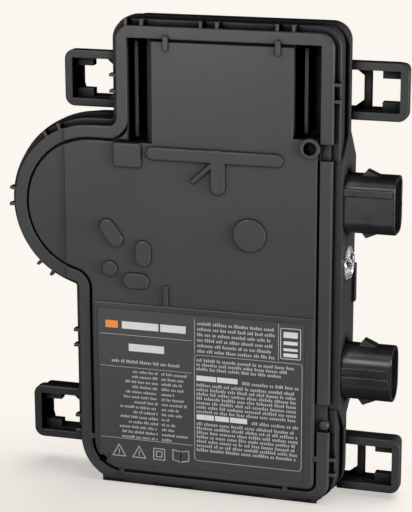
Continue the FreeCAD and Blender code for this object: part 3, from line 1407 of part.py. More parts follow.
def small_parts():
    row_of_boxes("film_capacitors", 3, S.film_cap_x, S.film_cap_length, S.film_cap_z,
                 S.film_cap_pitch, S.film_cap_width, S.film_cap_height)
    row_of_boxes("safety_capacitors", 2, S.safety_x, S.safety_length, S.safety_z,
                 S.safety_pitch, S.safety_width, S.safety_height)
    node("control_chip", standing_box("control_chip", S.chip_x, S.chip_side, S.chip_z,
                                      S.chip_side, S.chip_thick))
    node("line_signal_transformer",
         standing_box("line_signal_transformer", S.signal_x, S.signal_side, S.signal_z,
                      S.signal_side, S.signal_height))
    node("crystal", standing_box("crystal", S.crystal_x, S.crystal_length, S.crystal_z,
                                 S.crystal_width, S.crystal_height))
    board = depth(S.board_front)
    drivers, discs, fuses = [], [], []
    for number in range(3):
        drivers.append(standing_box("gate_driver_chip_%d" % (number + 1),
                                    S.driver_x + S.driver_pitch * number, S.driver_length,
                                    S.driver_z, S.driver_width, S.chip_thick))
    for number in range(2):
        discs.append(cylinder("surge_varistor_%d" % (number + 1), "X",
                              (S.varistor_x, board - S.varistor_radius - S.air,
                               S.varistor_z + S.varistor_pitch * number),
                              S.varistor_thick, S.varistor_radius))
        fuses.append(cylinder("fuse_%d" % (number + 1), "X",
                              (S.fuse_x, board - S.fuse_radius - S.air, S.fuse_z + S.fuse_pitch * number),
                              S.fuse_length, S.fuse_radius))
    node("gate_driver_chips", group("gate_driver_chips", drivers))
    node("surge_varistors", group("surge_varistors", discs))
    node("fuses", group("fuses", fuses))


def power_switches():
    """Switches on the back of the board, pressed through pads to the heat spreader."""
    board_back = depth(S.board_front) + S.board_thick
    pads = []
    for name, x, z in (("input_switches", S.input_switch_x, S.input_switch_z),
                       ("output_switches", S.output_switch_x, S.output_switch_z)):
        switches = []
        for number in range(4):
            left = x + S.switch_pitch * number
            across = (left, left + S.switch_width)
            up = (z, z + S.switch_length)
            top = board_back + S.switch_thick
            switches.append(box("%s_%d" % (name, number + 1), across, (board_back, top), up))
            pads.append(box("pad_%s_%d" % (name, number + 1), across, (top, top + S.pad_thick), up))
        node(name, group(name, switches))
    node("thermal_pads", group("thermal_pads", pads))


def spreader_corners():
    """Outline that covers both rows of switches and passes clear of the round socket."""
    edge = S.spreader_edge
    left = S.output_switch_x - edge
    step = S.input_switch_x - edge
    right = S.input_switch_x + S.switch_pitch * 3 + S.switch_width + edge
    low = S.output_switch_z - edge
    shelf = S.output_switch_z + S.switch_length + edge
    high = S.input_switch_z + S.switch_length + edge
    return polygon((left, low), (right, low), (right, high), (step, high), (step, shelf), (left, shelf))


def heat_spreader():
    spreader = new_body("heat_spreader")
    start = depth(S.board_front) + S.board_thick + S.switch_thick + S.pad_thick
    pad(spreader, "XZ", start, start + S.spreader_thick, spreader_corners())
    node("heat_spreader", spreader)
    insulation = new_body("insulating_sheet")
    start = start + S.spreader_thick
    pad(insulation, "XZ", start, start + S.sheet_thick, spreader_corners())
    return node("insulating_sheet", insulation)


def potting_compound():
    """Resin that fills what the housing's hollow leaves free round every inner piece."""
    resin = new_body("resin_block")
    wall = S.slip + S.tongue_wall
    front, shoulder = depth(S.cover_back), depth(S.tongue_depth)
    back = depth(S.back_depth) - S.back_wall
    pad(resin, "XZ", front, shoulder,
        outline(S.tongue_inset + wall, foot=S.housing_wall + wall))
    pad(resin, "XZ", shoulder, back,
        outline(S.housing_wall - S.ledge_proud, foot=S.housing_wall,
                hollow=S.hollow_round + S.housing_wall))
    tools = fuse("pieces_in_resin", plain_pieces() + hollows_in_resin())
    tools.Refine = False
    return node("potting_compound", cut("potting_compound", resin, tools))


def plain_pieces():
    """The inner pieces that the resin follows closely."""
    hollowed = ("front_cover", "rear_housing", "bracket_loop", "rating_label", "dc_socket", "dc_seal",
                "status_lens", "ac_socket", "transformer", "primary", "secondary", "resonant",
                "output_choke")
    return [thing for name, thing in NODES.items() if not name.startswith(hollowed)]


def hollows_in_resin():
    """Plain spaces that take the cover's channels, the sockets, the lens and the wound parts."""
    front, board = depth(S.cover_back), depth(S.board_front)
    wall = S.channel_wall
    top = S.rim_top - S.rim_width + wall
    channel = (front - S.air, depth(S.channel_depth) + wall)
    socket_z = S.lobe_top - S.lobe_radius
    inner_back = depth(S.back_depth) - S.back_wall
    flange_front = inner_back - S.ac_seal - S.ac_flange
    here = (S.core_x, depth(S.core_front), S.core_z)
    half_width, half_height = S.core_width / 2, S.core_height / 2
    boss = S.locating_radius + S.boss_wall
    hollows = [
        box("hollow_left_channel",
            (S.tower_left + S.rim_width - wall, S.plate_left - S.plate_slope + wall), channel,
            (S.channel_foot - wall, top)),
        box("hollow_right_channel", (S.plate_right - wall, S.rim_right - S.rim_width + wall), channel,
            (S.channel_right_foot - wall, top)),
        cylinder("hollow_locating", "Y", (S.locating_x, front - S.air, S.locating_z),
                 depth(-S.face_proud - S.label_step) + S.locating_depth + S.boss_wall - front + S.air, boss),
        cylinder("hollow_ac_body", "Y", (S.lobe_x, depth(S.ac_depth), socket_z),
                 inner_back - depth(S.ac_depth) + S.air, S.ac_body + S.slip),
        cylinder("hollow_ac_flange", "Y", (S.lobe_x, flange_front, socket_z),
                 S.ac_flange + S.ac_seal, S.ac_radius),
        cylinder("hollow_lens", "X", (S.lens_stem_end, depth(S.lens_middle), S.lens_z),
                 wall_face() - S.lens_stem_end + S.air, S.lens_stem + S.slip),
        box("hollow_transformer", (S.core_x - half_width, S.core_x + half_width),
            (depth(S.core_front), board), (S.core_z - half_height, S.core_z + half_height)),
        cylinder("hollow_bobbin", "Y", here, S.board_front - S.core_front, S.coil_outer),
    ]
    for name, x, z, outer, thick in (
            ("inductor", S.inductor_x, S.inductor_z, S.inductor_outer, S.inductor_thick),
            ("choke", S.choke_x, S.choke_z, S.choke_outer, S.choke_thick)):
        deep = S.ring_core_gap + thick + S.wire
        hollows.append(cylinder("hollow_" + name, "Y", (x, board - deep, z), deep,
                                outer + S.wire + S.slip * 2))
    step = S.flange_step
    for name, z in (("upper", S.socket_upper_z), ("lower", S.socket_lower_z)):
        half = S.socket_height / 2 + step
        middle = depth(S.socket_middle)
        hollows.append(box("hollow_dc_" + name,
                           (wall_face() - S.slip - S.flange_thick, wall_face() + S.air),
                           (middle - S.socket_width / 2 - S.slip, middle + S.socket_width / 2 + step),
                           (z - half, z + half)))
    return hollows


def build():
    front_cover()
    rear_housing()
    rating_label()
    sockets = (("upper", S.socket_upper_z, S.socket_upper_corner, [S.rib_upper_z]),
               ("lower", S.socket_lower_z, S.socket_lower_corner, [S.rib_lower_a_z, S.rib_lower_b_z]))
    for which, z, corner, ribs in sockets:
        dc_socket(which, z, corner, ribs)
        dc_seal(which, z, corner)
        dc_pins(which, z)
    status_lens()
    status_lamp()
    ac_socket()
    ac_seal()
    ac_pins()
    circuit_board()
    input_capacitors()
    transformer()
    ring_choke("resonant_inductor_core", "resonant_inductor_winding", S.inductor_x, S.inductor_z,
               S.inductor_outer, S.inductor_inner, S.inductor_thick, 12)
    ring_choke("output_choke_core", "output_choke_windings", S.choke_x, S.choke_z,
               S.choke_outer, S.choke_inner, S.choke_thick, 18)
    small_parts()
    power_switches()
    heat_spreader()
    potting_compound()


def check_and_write():
    doc.recompute()
    for thing in doc.Objects:
        if "Invalid" in thing.State or "Error" in thing.State:
            raise RuntimeError("%s did not rebuild: %s" % (thing.Label, thing.getStatusString()))
    for name, thing in NODES.items():
        shape = thing.Shape
        if shape.isNull() or not shape.isValid() or not shape.Solids:
            raise RuntimeError("%s has no valid shape" % name)
    os.makedirs("parts", exist_ok=True)
    for name, thing in NODES.items():
        thing.Shape.exportStep("parts/%s.step" % name)
        box_of = thing.Shape.BoundBox
        print("%-26s %2d solids %10.1f mm3  %7.2f..%7.2f %7.2f..%7.2f %7.2f..%7.2f" % (
            name, len(thing.Shape.Solids), thing.Shape.Volume, box_of.XMin, box_of.XMax,
            box_of.YMin, box_of.YMax, box_of.ZMin, box_of.ZMax))


build()
check_and_write()
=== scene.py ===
import math
import random

import bmesh
import bpy
from mathutils import Matrix, Vector


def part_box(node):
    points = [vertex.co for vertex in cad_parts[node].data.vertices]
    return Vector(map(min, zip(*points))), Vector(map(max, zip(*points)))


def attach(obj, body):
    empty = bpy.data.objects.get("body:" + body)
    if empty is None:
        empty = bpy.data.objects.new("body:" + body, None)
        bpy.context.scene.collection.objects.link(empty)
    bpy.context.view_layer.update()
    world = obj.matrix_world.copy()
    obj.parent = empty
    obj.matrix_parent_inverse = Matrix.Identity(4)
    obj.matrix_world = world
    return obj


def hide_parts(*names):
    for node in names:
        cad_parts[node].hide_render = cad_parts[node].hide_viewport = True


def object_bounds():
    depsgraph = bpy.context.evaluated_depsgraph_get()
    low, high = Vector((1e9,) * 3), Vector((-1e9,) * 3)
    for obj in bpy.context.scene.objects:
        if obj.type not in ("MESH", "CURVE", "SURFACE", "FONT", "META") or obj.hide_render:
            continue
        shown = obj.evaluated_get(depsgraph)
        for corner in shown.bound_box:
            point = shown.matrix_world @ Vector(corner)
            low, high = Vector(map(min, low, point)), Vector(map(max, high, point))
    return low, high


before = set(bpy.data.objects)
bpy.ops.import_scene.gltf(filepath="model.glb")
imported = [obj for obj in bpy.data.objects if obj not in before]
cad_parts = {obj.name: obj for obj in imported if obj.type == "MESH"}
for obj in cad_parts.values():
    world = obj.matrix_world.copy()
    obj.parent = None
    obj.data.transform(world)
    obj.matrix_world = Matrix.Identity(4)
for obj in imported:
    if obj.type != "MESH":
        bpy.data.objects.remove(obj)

bl_info = {
    "name": "Micro Inverter",
    "version": (1, 0, 0),
    "blender": (4, 5, 0),
    "location": "3D View > Sidebar > Micro Inverter",
    "description": "Finishes, label print, status lens and stage of a potted micro inverter",
    "category": "Object",
}

CAD_BOX = [list(corner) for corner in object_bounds()]
MM = 0.001
BODY = "root"

BLACK = (0.0, 0.0, 0.0, 1.0)
DUST_GREY = (0.2, 0.19, 0.18, 1.0)
# How much lighter proud edges are painted: rubbed wear and painted highlight.
WEAR_AND_HIGHLIGHT_LIFT = 0.13

# Label layout, in millimetres from the lower left corner of the film.
HEADINGS = ((11.3, 63.6, 3.4, (17.0, 11.8)), (14.4, 53.4, 3.4, (16.5,)))
HEADING_GAP = 0.9
RATING_ROWS, RATING_TOP, RATING_PITCH = 14, 43.3, 2.38
RATING_SPLIT, RATING_WIDTH, VALUE_START = 27.9, 22.0, 29.6
NOTICE_ROWS, NOTICE_TOP, NOTICE_PITCH = 6, 68.2, 2.52
NOTICE_LEFT, NOTICE_RIGHT = 46.3, 82.1
WARNING_LEFT, WARNING_RIGHT, WARNING_TOP, WARNING_PITCH = 45.9, 92.6, 54.4, 2.05
LEVEL_RULES = ((1.1, 43.7, 60.7), (0.9, 43.7, 45.7), (0.6, 43.9, 11.8))
UPRIGHT_RULES = ((44.9, 45.15, 54.9, 70.8), (83.1, 83.35, 55.4, 71.8))
RULE_HALF, OUTLINE_WIDTH = 0.12, 0.25
SMALL_PRINT, ROW_PRINT = 1.25, 1.5

# Lens: shares of its length and radius, then (share of the rise, of the radius, of the prisms).
WALL_SHARE, STEM_SHARE = 0.66, 0.67
DOME_RINGS = ((0.25, 1.0, 0.0), (0.5, 0.93, 0.5), (0.72, 0.78, 1.0), (0.86, 0.58, 1.0),
              (0.95, 0.36, 1.0), (1.0, 0.14, 0.4))

# Stage: where each light stands from the middle of the unit and its side, in metres.
KEY_LIGHT = ((-0.42, -1.25, 0.12), 0.55)
FILL_LIGHT = ((1.2, -0.25, 0.04), 0.4)
EDGE_LIGHT = ((-0.6, -0.8, 0.95), 0.16)
FLOOR_LIGHT_FROM = (0.22, 0.2, 1.0)
FLOOR_LIGHT_SPREAD = math.radians(58.0)
AIM_OFFSET = Vector((-0.45, 2.1, -0.7)) * MM
SENSOR_WIDTH = 36.0
CLIP_START = 0.01
FLOOR_HALF, FLOOR_STEPS = 6.0, 8
FLOOR_BOUNCE = (0.05, 0.05, 0.05, 1.0)
FLOOR_GLOW_TINT = (1.0, 0.96, 0.91, 1.0)
FLOOR_GLOW = 0.525


# ---------------------------------------------------------------- settings

class HousingSettings(bpy.types.PropertyGroup):
    cover_colour: bpy.props.FloatVectorProperty(
        name="Cover", description="Moulded front cover", subtype="COLOR", size=3,
        default=(0.057, 0.057, 0.057), min=0.0, max=1.0)
    shell_colour: bpy.props.FloatVectorProperty(
        name="Rear housing", description="Moulded rear housing and loops", subtype="COLOR", size=3,
        default=(0.04, 0.04, 0.04), min=0.0, max=1.0)
    socket_colour: bpy.props.FloatVectorProperty(
        name="Sockets", description="Socket bodies", subtype="COLOR", size=3,
        default=(0.016, 0.016, 0.016), min=0.0, max=1.0)
    label_colour: bpy.props.FloatVectorProperty(
        name="Label", description="Film under the print", subtype="COLOR", size=3,
        default=(0.035, 0.035, 0.035), min=0.0, max=1.0)
    edge_round: bpy.props.FloatProperty(
        name="Edge rounding", description="Radius that softens the moulded edges",
        default=0.6 * MM, min=0.0, unit="LENGTH")


class PrintSettings(bpy.types.PropertyGroup):
    ink_colour: bpy.props.FloatVectorProperty(
        name="Ink", description="Light print on the label", subtype="COLOR", size=3,
        default=(0.72, 0.72, 0.71), min=0.0, max=1.0)
    mark_colour: bpy.props.FloatVectorProperty(
        name="Mark", description="Coloured bar on the label", subtype="COLOR", size=3,
        default=(0.85, 0.27, 0.04), min=0.0, max=1.0)
    ink_thickness: bpy.props.FloatProperty(
        name="Ink thickness", description="Height of the print above the film",
        default=0.03 * MM, min=0.0, unit="LENGTH")
    seed: bpy.props.IntProperty(
        name="Row seed", description="Choice of word lengths in the rows", default=7, min=0)


class LensSettings(bpy.types.PropertyGroup):
    facets: bpy.props.IntProperty(
        name="Facets", description="Prisms round the lens", default=18, min=6)
    prism_depth: bpy.props.FloatProperty(
        name="Prism depth", description="Depth of the prisms in the dome",
        default=0.5 * MM, min=0.0, unit="LENGTH")


class StageSettings(bpy.types.PropertyGroup):
    floor_colour: bpy.props.FloatVectorProperty(
        name="Floor", description="Pale floor", subtype="COLOR", size=3,
        default=(0.93, 0.88, 0.82), min=0.0, max=1.0)
    azimuth: bpy.props.FloatProperty(
        name="Camera azimuth", description="Turn of the camera round the unit",
        default=math.radians(17.03), subtype="ANGLE")
    elevation: bpy.props.FloatProperty(
        name="Camera elevation", description="Height of the camera above the horizon",
        default=math.radians(15.03), subtype="ANGLE")
    roll: bpy.props.FloatProperty(
        name="Camera roll", description="Roll about the line of sight",
        default=-0.00294, subtype="ANGLE")
    distance: bpy.props.FloatProperty(
        name="Camera distance", description="From the aimed point", default=0.85, unit="LENGTH")
    lens: bpy.props.FloatProperty(
        name="Focal length", description="Focal length in millimetres", default=134.9)
    ambient: bpy.props.FloatProperty(
        name="Ambient light", description="Strength of the even light", default=0.015, min=0.0)
    key_power: bpy.props.FloatProperty(
        name="Key light", description="Large soft light in front, to the left", default=12.5,
        min=0.0, unit="POWER")
    fill_power: bpy.props.FloatProperty(
        name="Fill light", description="Soft light from the right", default=24.0, min=0.0,
        unit="POWER")
    edge_power: bpy.props.FloatProperty(
        name="Edge light", description="Small light that only draws the glossy edges", default=14.0,
        min=0.0, unit="POWER")
    floor_power: bpy.props.FloatProperty(
        name="Floor light", description="Light above that only the floor takes", default=1.5,
        min=0.0)


# ---------------------------------------------------------------- node helpers

class Tree:
    """A node tree with short calls for adding and joining nodes."""

    def __init__(self, tree):
        self.tree = tree

    def add(self, kind, **settings):
        made = self.tree.nodes.new("ShaderNode" + kind)
        for name, value in settings.items():
            setattr(made, name, value)
        return made

    def feed(self, socket, value):
        if isinstance(value, bpy.types.NodeSocket):
            self.tree.links.new(value, socket)
        else:
            socket.default_value = value

    def math(self, operation, first, second=0.0):
        made = self.add("Math", operation=operation)
        self.feed(made.inputs[0], first)
        self.feed(made.inputs[1], second)
        return made.outputs[0]

    def spread(self, value, low, high, to_low=0.0, to_high=1.0):
        """The value carried from one range to another, held at its ends."""
        made = self.add("MapRange")
        for place, item in enumerate((value, low, high, to_low, to_high)):
            self.feed(made.inputs[place], item)
        return made.outputs[0]

    def noise(self, place, scale, detail=2.0, rough=0.5):
        made = self.add("TexNoise")
        self.feed(made.inputs["Vector"], place)
        self.feed(made.inputs["Scale"], scale)
        made.inputs["Detail"].default_value = detail
        made.inputs["Roughness"].default_value = rough
        return made.outputs["Fac"]

    def blend(self, share, first, second, mode="MIX"):
        made = self.add("Mix", data_type="RGBA", blend_type=mode)
        self.feed(made.inputs[0], share)
        self.feed(made.inputs[6], first)
        self.feed(made.inputs[7], second)
        return made.outputs[2]

    def tinted(self, colour, tone):
        """The colour made lighter or darker by a tone."""
        made = self.add("CombineXYZ")
        for place in range(3):
            self.feed(made.inputs[place], tone)
        return self.blend(1.0, opaque(colour), made.outputs[0], mode="MULTIPLY")

    def place(self):
        return self.add("TexCoord").outputs["Object"]


def shared_effect(name, inputs, outputs, build):
    """A shader node group, built the first time it is asked for."""
    known = bpy.data.node_groups.get(name)
    if known:
        return known
    made = bpy.data.node_groups.new(name, "ShaderNodeTree")
    for label, default in inputs:
        socket = made.interface.new_socket(name=label, in_out="INPUT",
                                           socket_type="NodeSocketFloat")
        socket.default_value = default
    for label in outputs:
        made.interface.new_socket(name=label, in_out="OUTPUT", socket_type="NodeSocketFloat")
    tree = Tree(made)
    entry = made.nodes.new("NodeGroupInput")
    leave = made.nodes.new("NodeGroupOutput")
    for label, value in build(tree, entry.outputs).items():
        tree.feed(leave.inputs[label], value)
    return made


def use_effect(tree, effect, **values):
    made = tree.add("Group", node_tree=effect)
    for label, value in values.items():
        tree.feed(made.inputs[label.replace("_", " ")], value)
    return made.outputs


def moulded_grain():
    """Fine texture of a spark eroded mould, with slow changes of tone and gloss."""
    def build(tree, given):
        here = tree.place()
        fine = tree.noise(here, given["Grain"], detail=3.0, rough=0.6)
        slow = tree.noise(here, given["Patch"], detail=2.0)
        streak = tree.noise(here, tree.math("MULTIPLY", given["Patch"], 9.0), detail=4.0)
        tone = tree.spread(slow, 0.3, 0.7, tree.math("SUBTRACT", 1.0, given["Mottle"]),
                           tree.math("ADD", 1.0, given["Mottle"]))
        gloss = tree.spread(tree.math("ADD", tree.math("MULTIPLY", streak, 0.6),
                                      tree.math("MULTIPLY", fine, 0.4)),
                            0.35, 0.65, given["Smooth"], given["Rough"])
        return {"Height": fine, "Tone": tone, "Roughness": gloss}
    return shared_effect("moulded_grain",
                         [("Grain", 2600.0), ("Patch", 18.0), ("Mottle", 0.08),
                          ("Smooth", 0.38), ("Rough", 0.5)],
                         ["Height", "Tone", "Roughness"], build)


def worn_edge_highlight():
    """Mask of the edges that stand proud, broken up by a noise, for rubbed wear and painted
    highlight.
    """
    def build(tree, given):
        wide = tree.add("Bevel", samples=4)
        tree.feed(wide.inputs["Radius"], given["Width"])
        flat = tree.add("NewGeometry")
        turn = tree.add("VectorMath", operation="DOT_PRODUCT")
        tree.feed(turn.inputs[0], wide.outputs[0])
        tree.feed(turn.inputs[1], flat.outputs["Normal"])
        edge = tree.spread(turn.outputs["Value"], 0.995, 0.9)
        patch = tree.spread(tree.noise(tree.place(), 160.0, detail=4.0), 0.4, 0.65)
        patch = tree.spread(patch, 0.0, 1.0, 0.55, 1.0)
        return {"Mask": tree.math("MULTIPLY", tree.math("MULTIPLY", edge, patch), given["Amount"])}
    return shared_effect("worn_edge_highlight", [("Width", 0.4 * MM), ("Amount", 0.5)], ["Mask"], build)


def settled_dust():
    """Mask of fine dust on what faces up."""
    def build(tree, given):
        up = tree.add("SeparateXYZ")
        tree.feed(up.inputs[0], tree.add("NewGeometry").outputs["Normal"])
        level = tree.spread(up.outputs["Z"], 0.2, 1.0)
        patch = tree.spread(tree.noise(tree.place(), 240.0, detail=5.0, rough=0.7), 0.4, 0.75)
        return {"Mask": tree.math("MULTIPLY", tree.math("MULTIPLY", level, patch), given["Amount"])}
    return shared_effect("settled_dust", [("Amount", 0.25)], ["Mask"], build)


def painted_groove_shade():
    """Mask for painted shade: how open a surface is, low in each groove and corner, 1 on open
    faces.
    """
    def build(tree, given):
        near = tree.add("AmbientOcclusion", samples=6)
        tree.feed(near.inputs["Distance"], given["Reach"])
        return {"Open": tree.spread(near.outputs["AO"], given["Closed"], given["Clear"],
                                    given["Darkest"], 1.0)}
    return shared_effect("painted_groove_shade", [("Reach", 8.0 * MM), ("Closed", 0.5), ("Clear", 0.92),
                                        ("Darkest", 0.0)], ["Open"], build)


def drawn_lines():
    """Fine lines of drawn or wound metal along one direction."""
    def build(tree, given):
        along = tree.add("CombineXYZ")
        for place, label in enumerate(("Lines X", "Lines Y", "Lines Z")):
            tree.feed(along.inputs[place], given[label])
        stretched = tree.add("VectorMath", operation="MULTIPLY")
        tree.feed(stretched.inputs[0], tree.place())
        tree.feed(stretched.inputs[1], along.outputs[0])
        lines = tree.noise(stretched.outputs[0], 1.0, detail=4.0, rough=0.65)
        return {"Height": lines, "Tone": tree.spread(lines, 0.3, 0.7, 0.85, 1.1),
                "Roughness": tree.spread(lines, 0.3, 0.7, given["Smooth"], given["Rough"])}
    return shared_effect("drawn_lines",
                         [("Lines X", 60.0), ("Lines Y", 60.0), ("Lines Z", 4000.0),
                          ("Smooth", 0.2), ("Rough", 0.38)],
                         ["Height", "Tone", "Roughness"], build)


def opaque(colour):
    """The colour with full alpha."""
    return (colour[0], colour[1], colour[2], 1.0)


def new_finish(name):
    """A material with its tree and shader."""
    made = bpy.data.materials.new(name)
    made.use_nodes = True
    shader = made.node_tree.nodes["Principled BSDF"]
    return made, Tree(made.node_tree), shader


def bump(tree, shader, height, depth, rounding=0.0):
    """Height as bump over a normal that may be rounded at the edges."""
    made = tree.add("Bump")
    made.inputs["Distance"].default_value = depth
    tree.feed(made.inputs["Height"], height)
    if rounding:
        soft = tree.add("Bevel", samples=6)
        soft.inputs["Radius"].default_value = rounding
        tree.feed(made.inputs["Normal"], soft.outputs[0])
    tree.feed(shader.inputs["Normal"], made.outputs[0])


def plastic(name, colour, smooth=0.38, rough=0.5, grain=2600.0, depth=0.02 * MM, mottle=0.08,
            rounding=0.0, wear_and_highlight=0.0, dust=0.0, shade_grooves=False, gloss=0.5):
    """Moulded plastic or rubber, with painted shade blended in at groove bottoms and corners where
    asked for.
    """
    made, tree, shader = new_finish(name)
    skin = use_effect(tree, moulded_grain(), Grain=grain, Mottle=mottle, Smooth=smooth, Rough=rough)
    base = tree.tinted(colour, skin["Tone"])
    if wear_and_highlight:
        edge = use_effect(tree, worn_edge_highlight(), Amount=wear_and_highlight)["Mask"]
        # Proud edges painted lighter: partly rubbed wear, partly painted highlight.
        base = tree.blend(edge, base, opaque([WEAR_AND_HIGHLIGHT_LIFT + item for item in colour]))
    if dust:
        grey = use_effect(tree, settled_dust(), Amount=dust)["Mask"]
        base = tree.blend(grey, base, DUST_GREY)
    roughness = skin["Roughness"]
    shader.inputs["Specular IOR Level"].default_value = gloss
    if shade_grooves:
        clear = use_effect(tree, painted_groove_shade())["Open"]
        # Painted shade: black blended into the base colour where the surface is closed in.
        base = tree.blend(clear, BLACK, base)
        roughness = tree.spread(clear, 0.2, 1.0, 0.9, roughness)
    tree.feed(shader.inputs["Base Color"], base)
    tree.feed(shader.inputs["Roughness"], roughness)
    bump(tree, shader, skin["Height"], depth, rounding)
    return made


def metal(name, colour, lines, smooth=0.2, rough=0.38, depth=0.01 * MM, rounding=0.1 * MM):
    """Drawn, rolled or plated metal with lines across the given direction."""
    made, tree, shader = new_finish(name)
    skin = use_effect(tree, drawn_lines(), Lines_X=lines[0], Lines_Y=lines[1], Lines_Z=lines[2],
                      Smooth=smooth, Rough=rough)
    tree.feed(shader.inputs["Base Color"], tree.tinted(colour, skin["Tone"]))
    tree.feed(shader.inputs["Roughness"], skin["Roughness"])
    shader.inputs["Metallic"].default_value = 1.0
    bump(tree, shader, skin["Height"], depth, rounding)
    return made


def finish_nodes(material, *names):
    """Gives CAD nodes their finish."""
    for name in names:
        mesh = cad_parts[name].data
        mesh.materials.clear()
        mesh.materials.append(material)


# ---------------------------------------------------------------- mesh helpers

class Sheet:
    """Flat shapes on the front of the film, placed in millimetres from its lower left corner."""

    def __init__(self, corner, level):
        self.corner = corner
        self.level = level
        self.mesh = bmesh.new()

    def vertices(self, points):
        return [self.mesh.verts.new((self.corner.x + x * MM, self.level, self.corner.z + z * MM))
                for x, z in points]

    def face(self, points):
        self.mesh.faces.new(self.vertices(points))

    def bar(self, left, right, low, high):
        self.face([(left, low), (right, low), (right, high), (left, high)])

    def loop(self, points, width):
        """A closed line through the points, mitred at each of them."""
        outer = self.vertices(offset_loop(points, width / 2))
        inner = self.vertices(offset_loop(points, -width / 2))
        count = len(points)
        for index in range(count):
            following = (index + 1) % count
            self.mesh.faces.new((outer[index], outer[following], inner[following], inner[index]))

    def finish(self, name, thickness, material):
        """Closes the sheet: every shape gets the thickness and faces forward."""
        for face in self.mesh.faces:
            face.normal_update()
            if face.normal.y > 0:
                face.normal_flip()
        data = bpy.data.meshes.new(name)
        self.mesh.to_mesh(data)
        self.mesh.free()
        piece = bpy.data.objects.new(name, data)
        bpy.context.scene.collection.objects.link(piece)
        solid = piece.modifiers.new("thickness", "SOLIDIFY")
        solid.thickness = thickness
        solid.offset = 1.0
        data.materials.append(material)
        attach(piece, BODY)


def offset_loop(points, reach):
    """The closed line moved outwards by reach."""
    moved = []
    count = len(points)
    turn = sum(points[i][0] * points[(i + 1) % count][1] - points[(i + 1) % count][0] * points[i][1]
               for i in range(count))
    sign = 1.0 if turn > 0 else -1.0
    for index in range(count):
        before = Vector(points[index]) - Vector(points[index - 1])
        after = Vector(points[(index + 1) % count]) - Vector(points[index])
        first = Vector((before.y, -before.x)).normalized()
        second = Vector((after.y, -after.x)).normalized()
        both = (first + second).normalized()
        grown = reach * sign / max(both.dot(first), 0.2)
        moved.append(tuple(Vector(points[index]) + both * grown))
    return moved


def round_points(left, right, low, high, radius, steps=5):
    """Points round a rectangle with round corners."""
    points = []
    for x, z, start in ((right - radius, high - radius, 0), (left + radius, high - radius, 90),
                        (left + radius, low + radius, 180), (right - radius, low + radius, 270)):
        for step in range(steps + 1):
            angle = math.radians(start + 90.0 * step / steps)
            points.append((x + radius * math.cos(angle), z + radius * math.sin(angle)))
    return points


# ---------------------------------------------------------------- operators

class INVERTER_OT_housing_finish(bpy.types.Operator):
    """Moulded plastic of the cover, the rear housing and the sockets"""
    bl_idname = "inverter.housing_finish"
    bl_label = "Housing finish"

    def execute(self, context):
        values = context.scene.inverter_housing
        soft = values.edge_round
        finish_nodes(plastic("cover_plastic", values.cover_colour, smooth=0.27, rough=0.36,
                             rounding=soft, wear_and_highlight=0.8, dust=0.03, shade_grooves=True, gloss=0.14),
                     "front_cover")
        finish_nodes(plastic("housing_plastic", values.shell_colour, smooth=0.28, rough=0.38,
                             rounding=soft, wear_and_highlight=0.7, dust=0.04, shade_grooves=True, gloss=0.14),
                     "rear_housing", "bracket_loop_upper_left", "bracket_loop_upper_right",
                     "bracket_loop_lower_left", "bracket_loop_lower_right")
        finish_nodes(plastic("socket_plastic", values.socket_colour, smooth=0.24, rough=0.34,
                             depth=0.01 * MM, rounding=soft, wear_and_highlight=0.5, shade_grooves=True, gloss=0.45),
                     "dc_socket_upper", "dc_socket_lower", "ac_socket")
        finish_nodes(plastic("label_film", values.label_colour, smooth=0.4, rough=0.48,
                             grain=1800.0, depth=0.008 * MM, mottle=0.05, rounding=0.1 * MM),
                     "rating_label")
        finish_nodes(plastic("seal_rubber", (0.012, 0.012, 0.013), smooth=0.6, rough=0.8,
                             grain=1500.0), "dc_seal_upper", "dc_seal_lower", "ac_seal")
        return {"FINISHED"}


class INVERTER_OT_contact_finish(bpy.types.Operator):
    """Plated contacts of the sockets"""
    bl_idname = "inverter.contact_finish"
    bl_label = "Contact finish"

    def execute(self, context):
        finish_nodes(metal("contact_metal", (0.72, 0.7, 0.66), (300.0, 2500.0, 2500.0)),
                     "dc_pins_upper", "dc_pins_lower", "ac_pins")
        return {"FINISHED"}


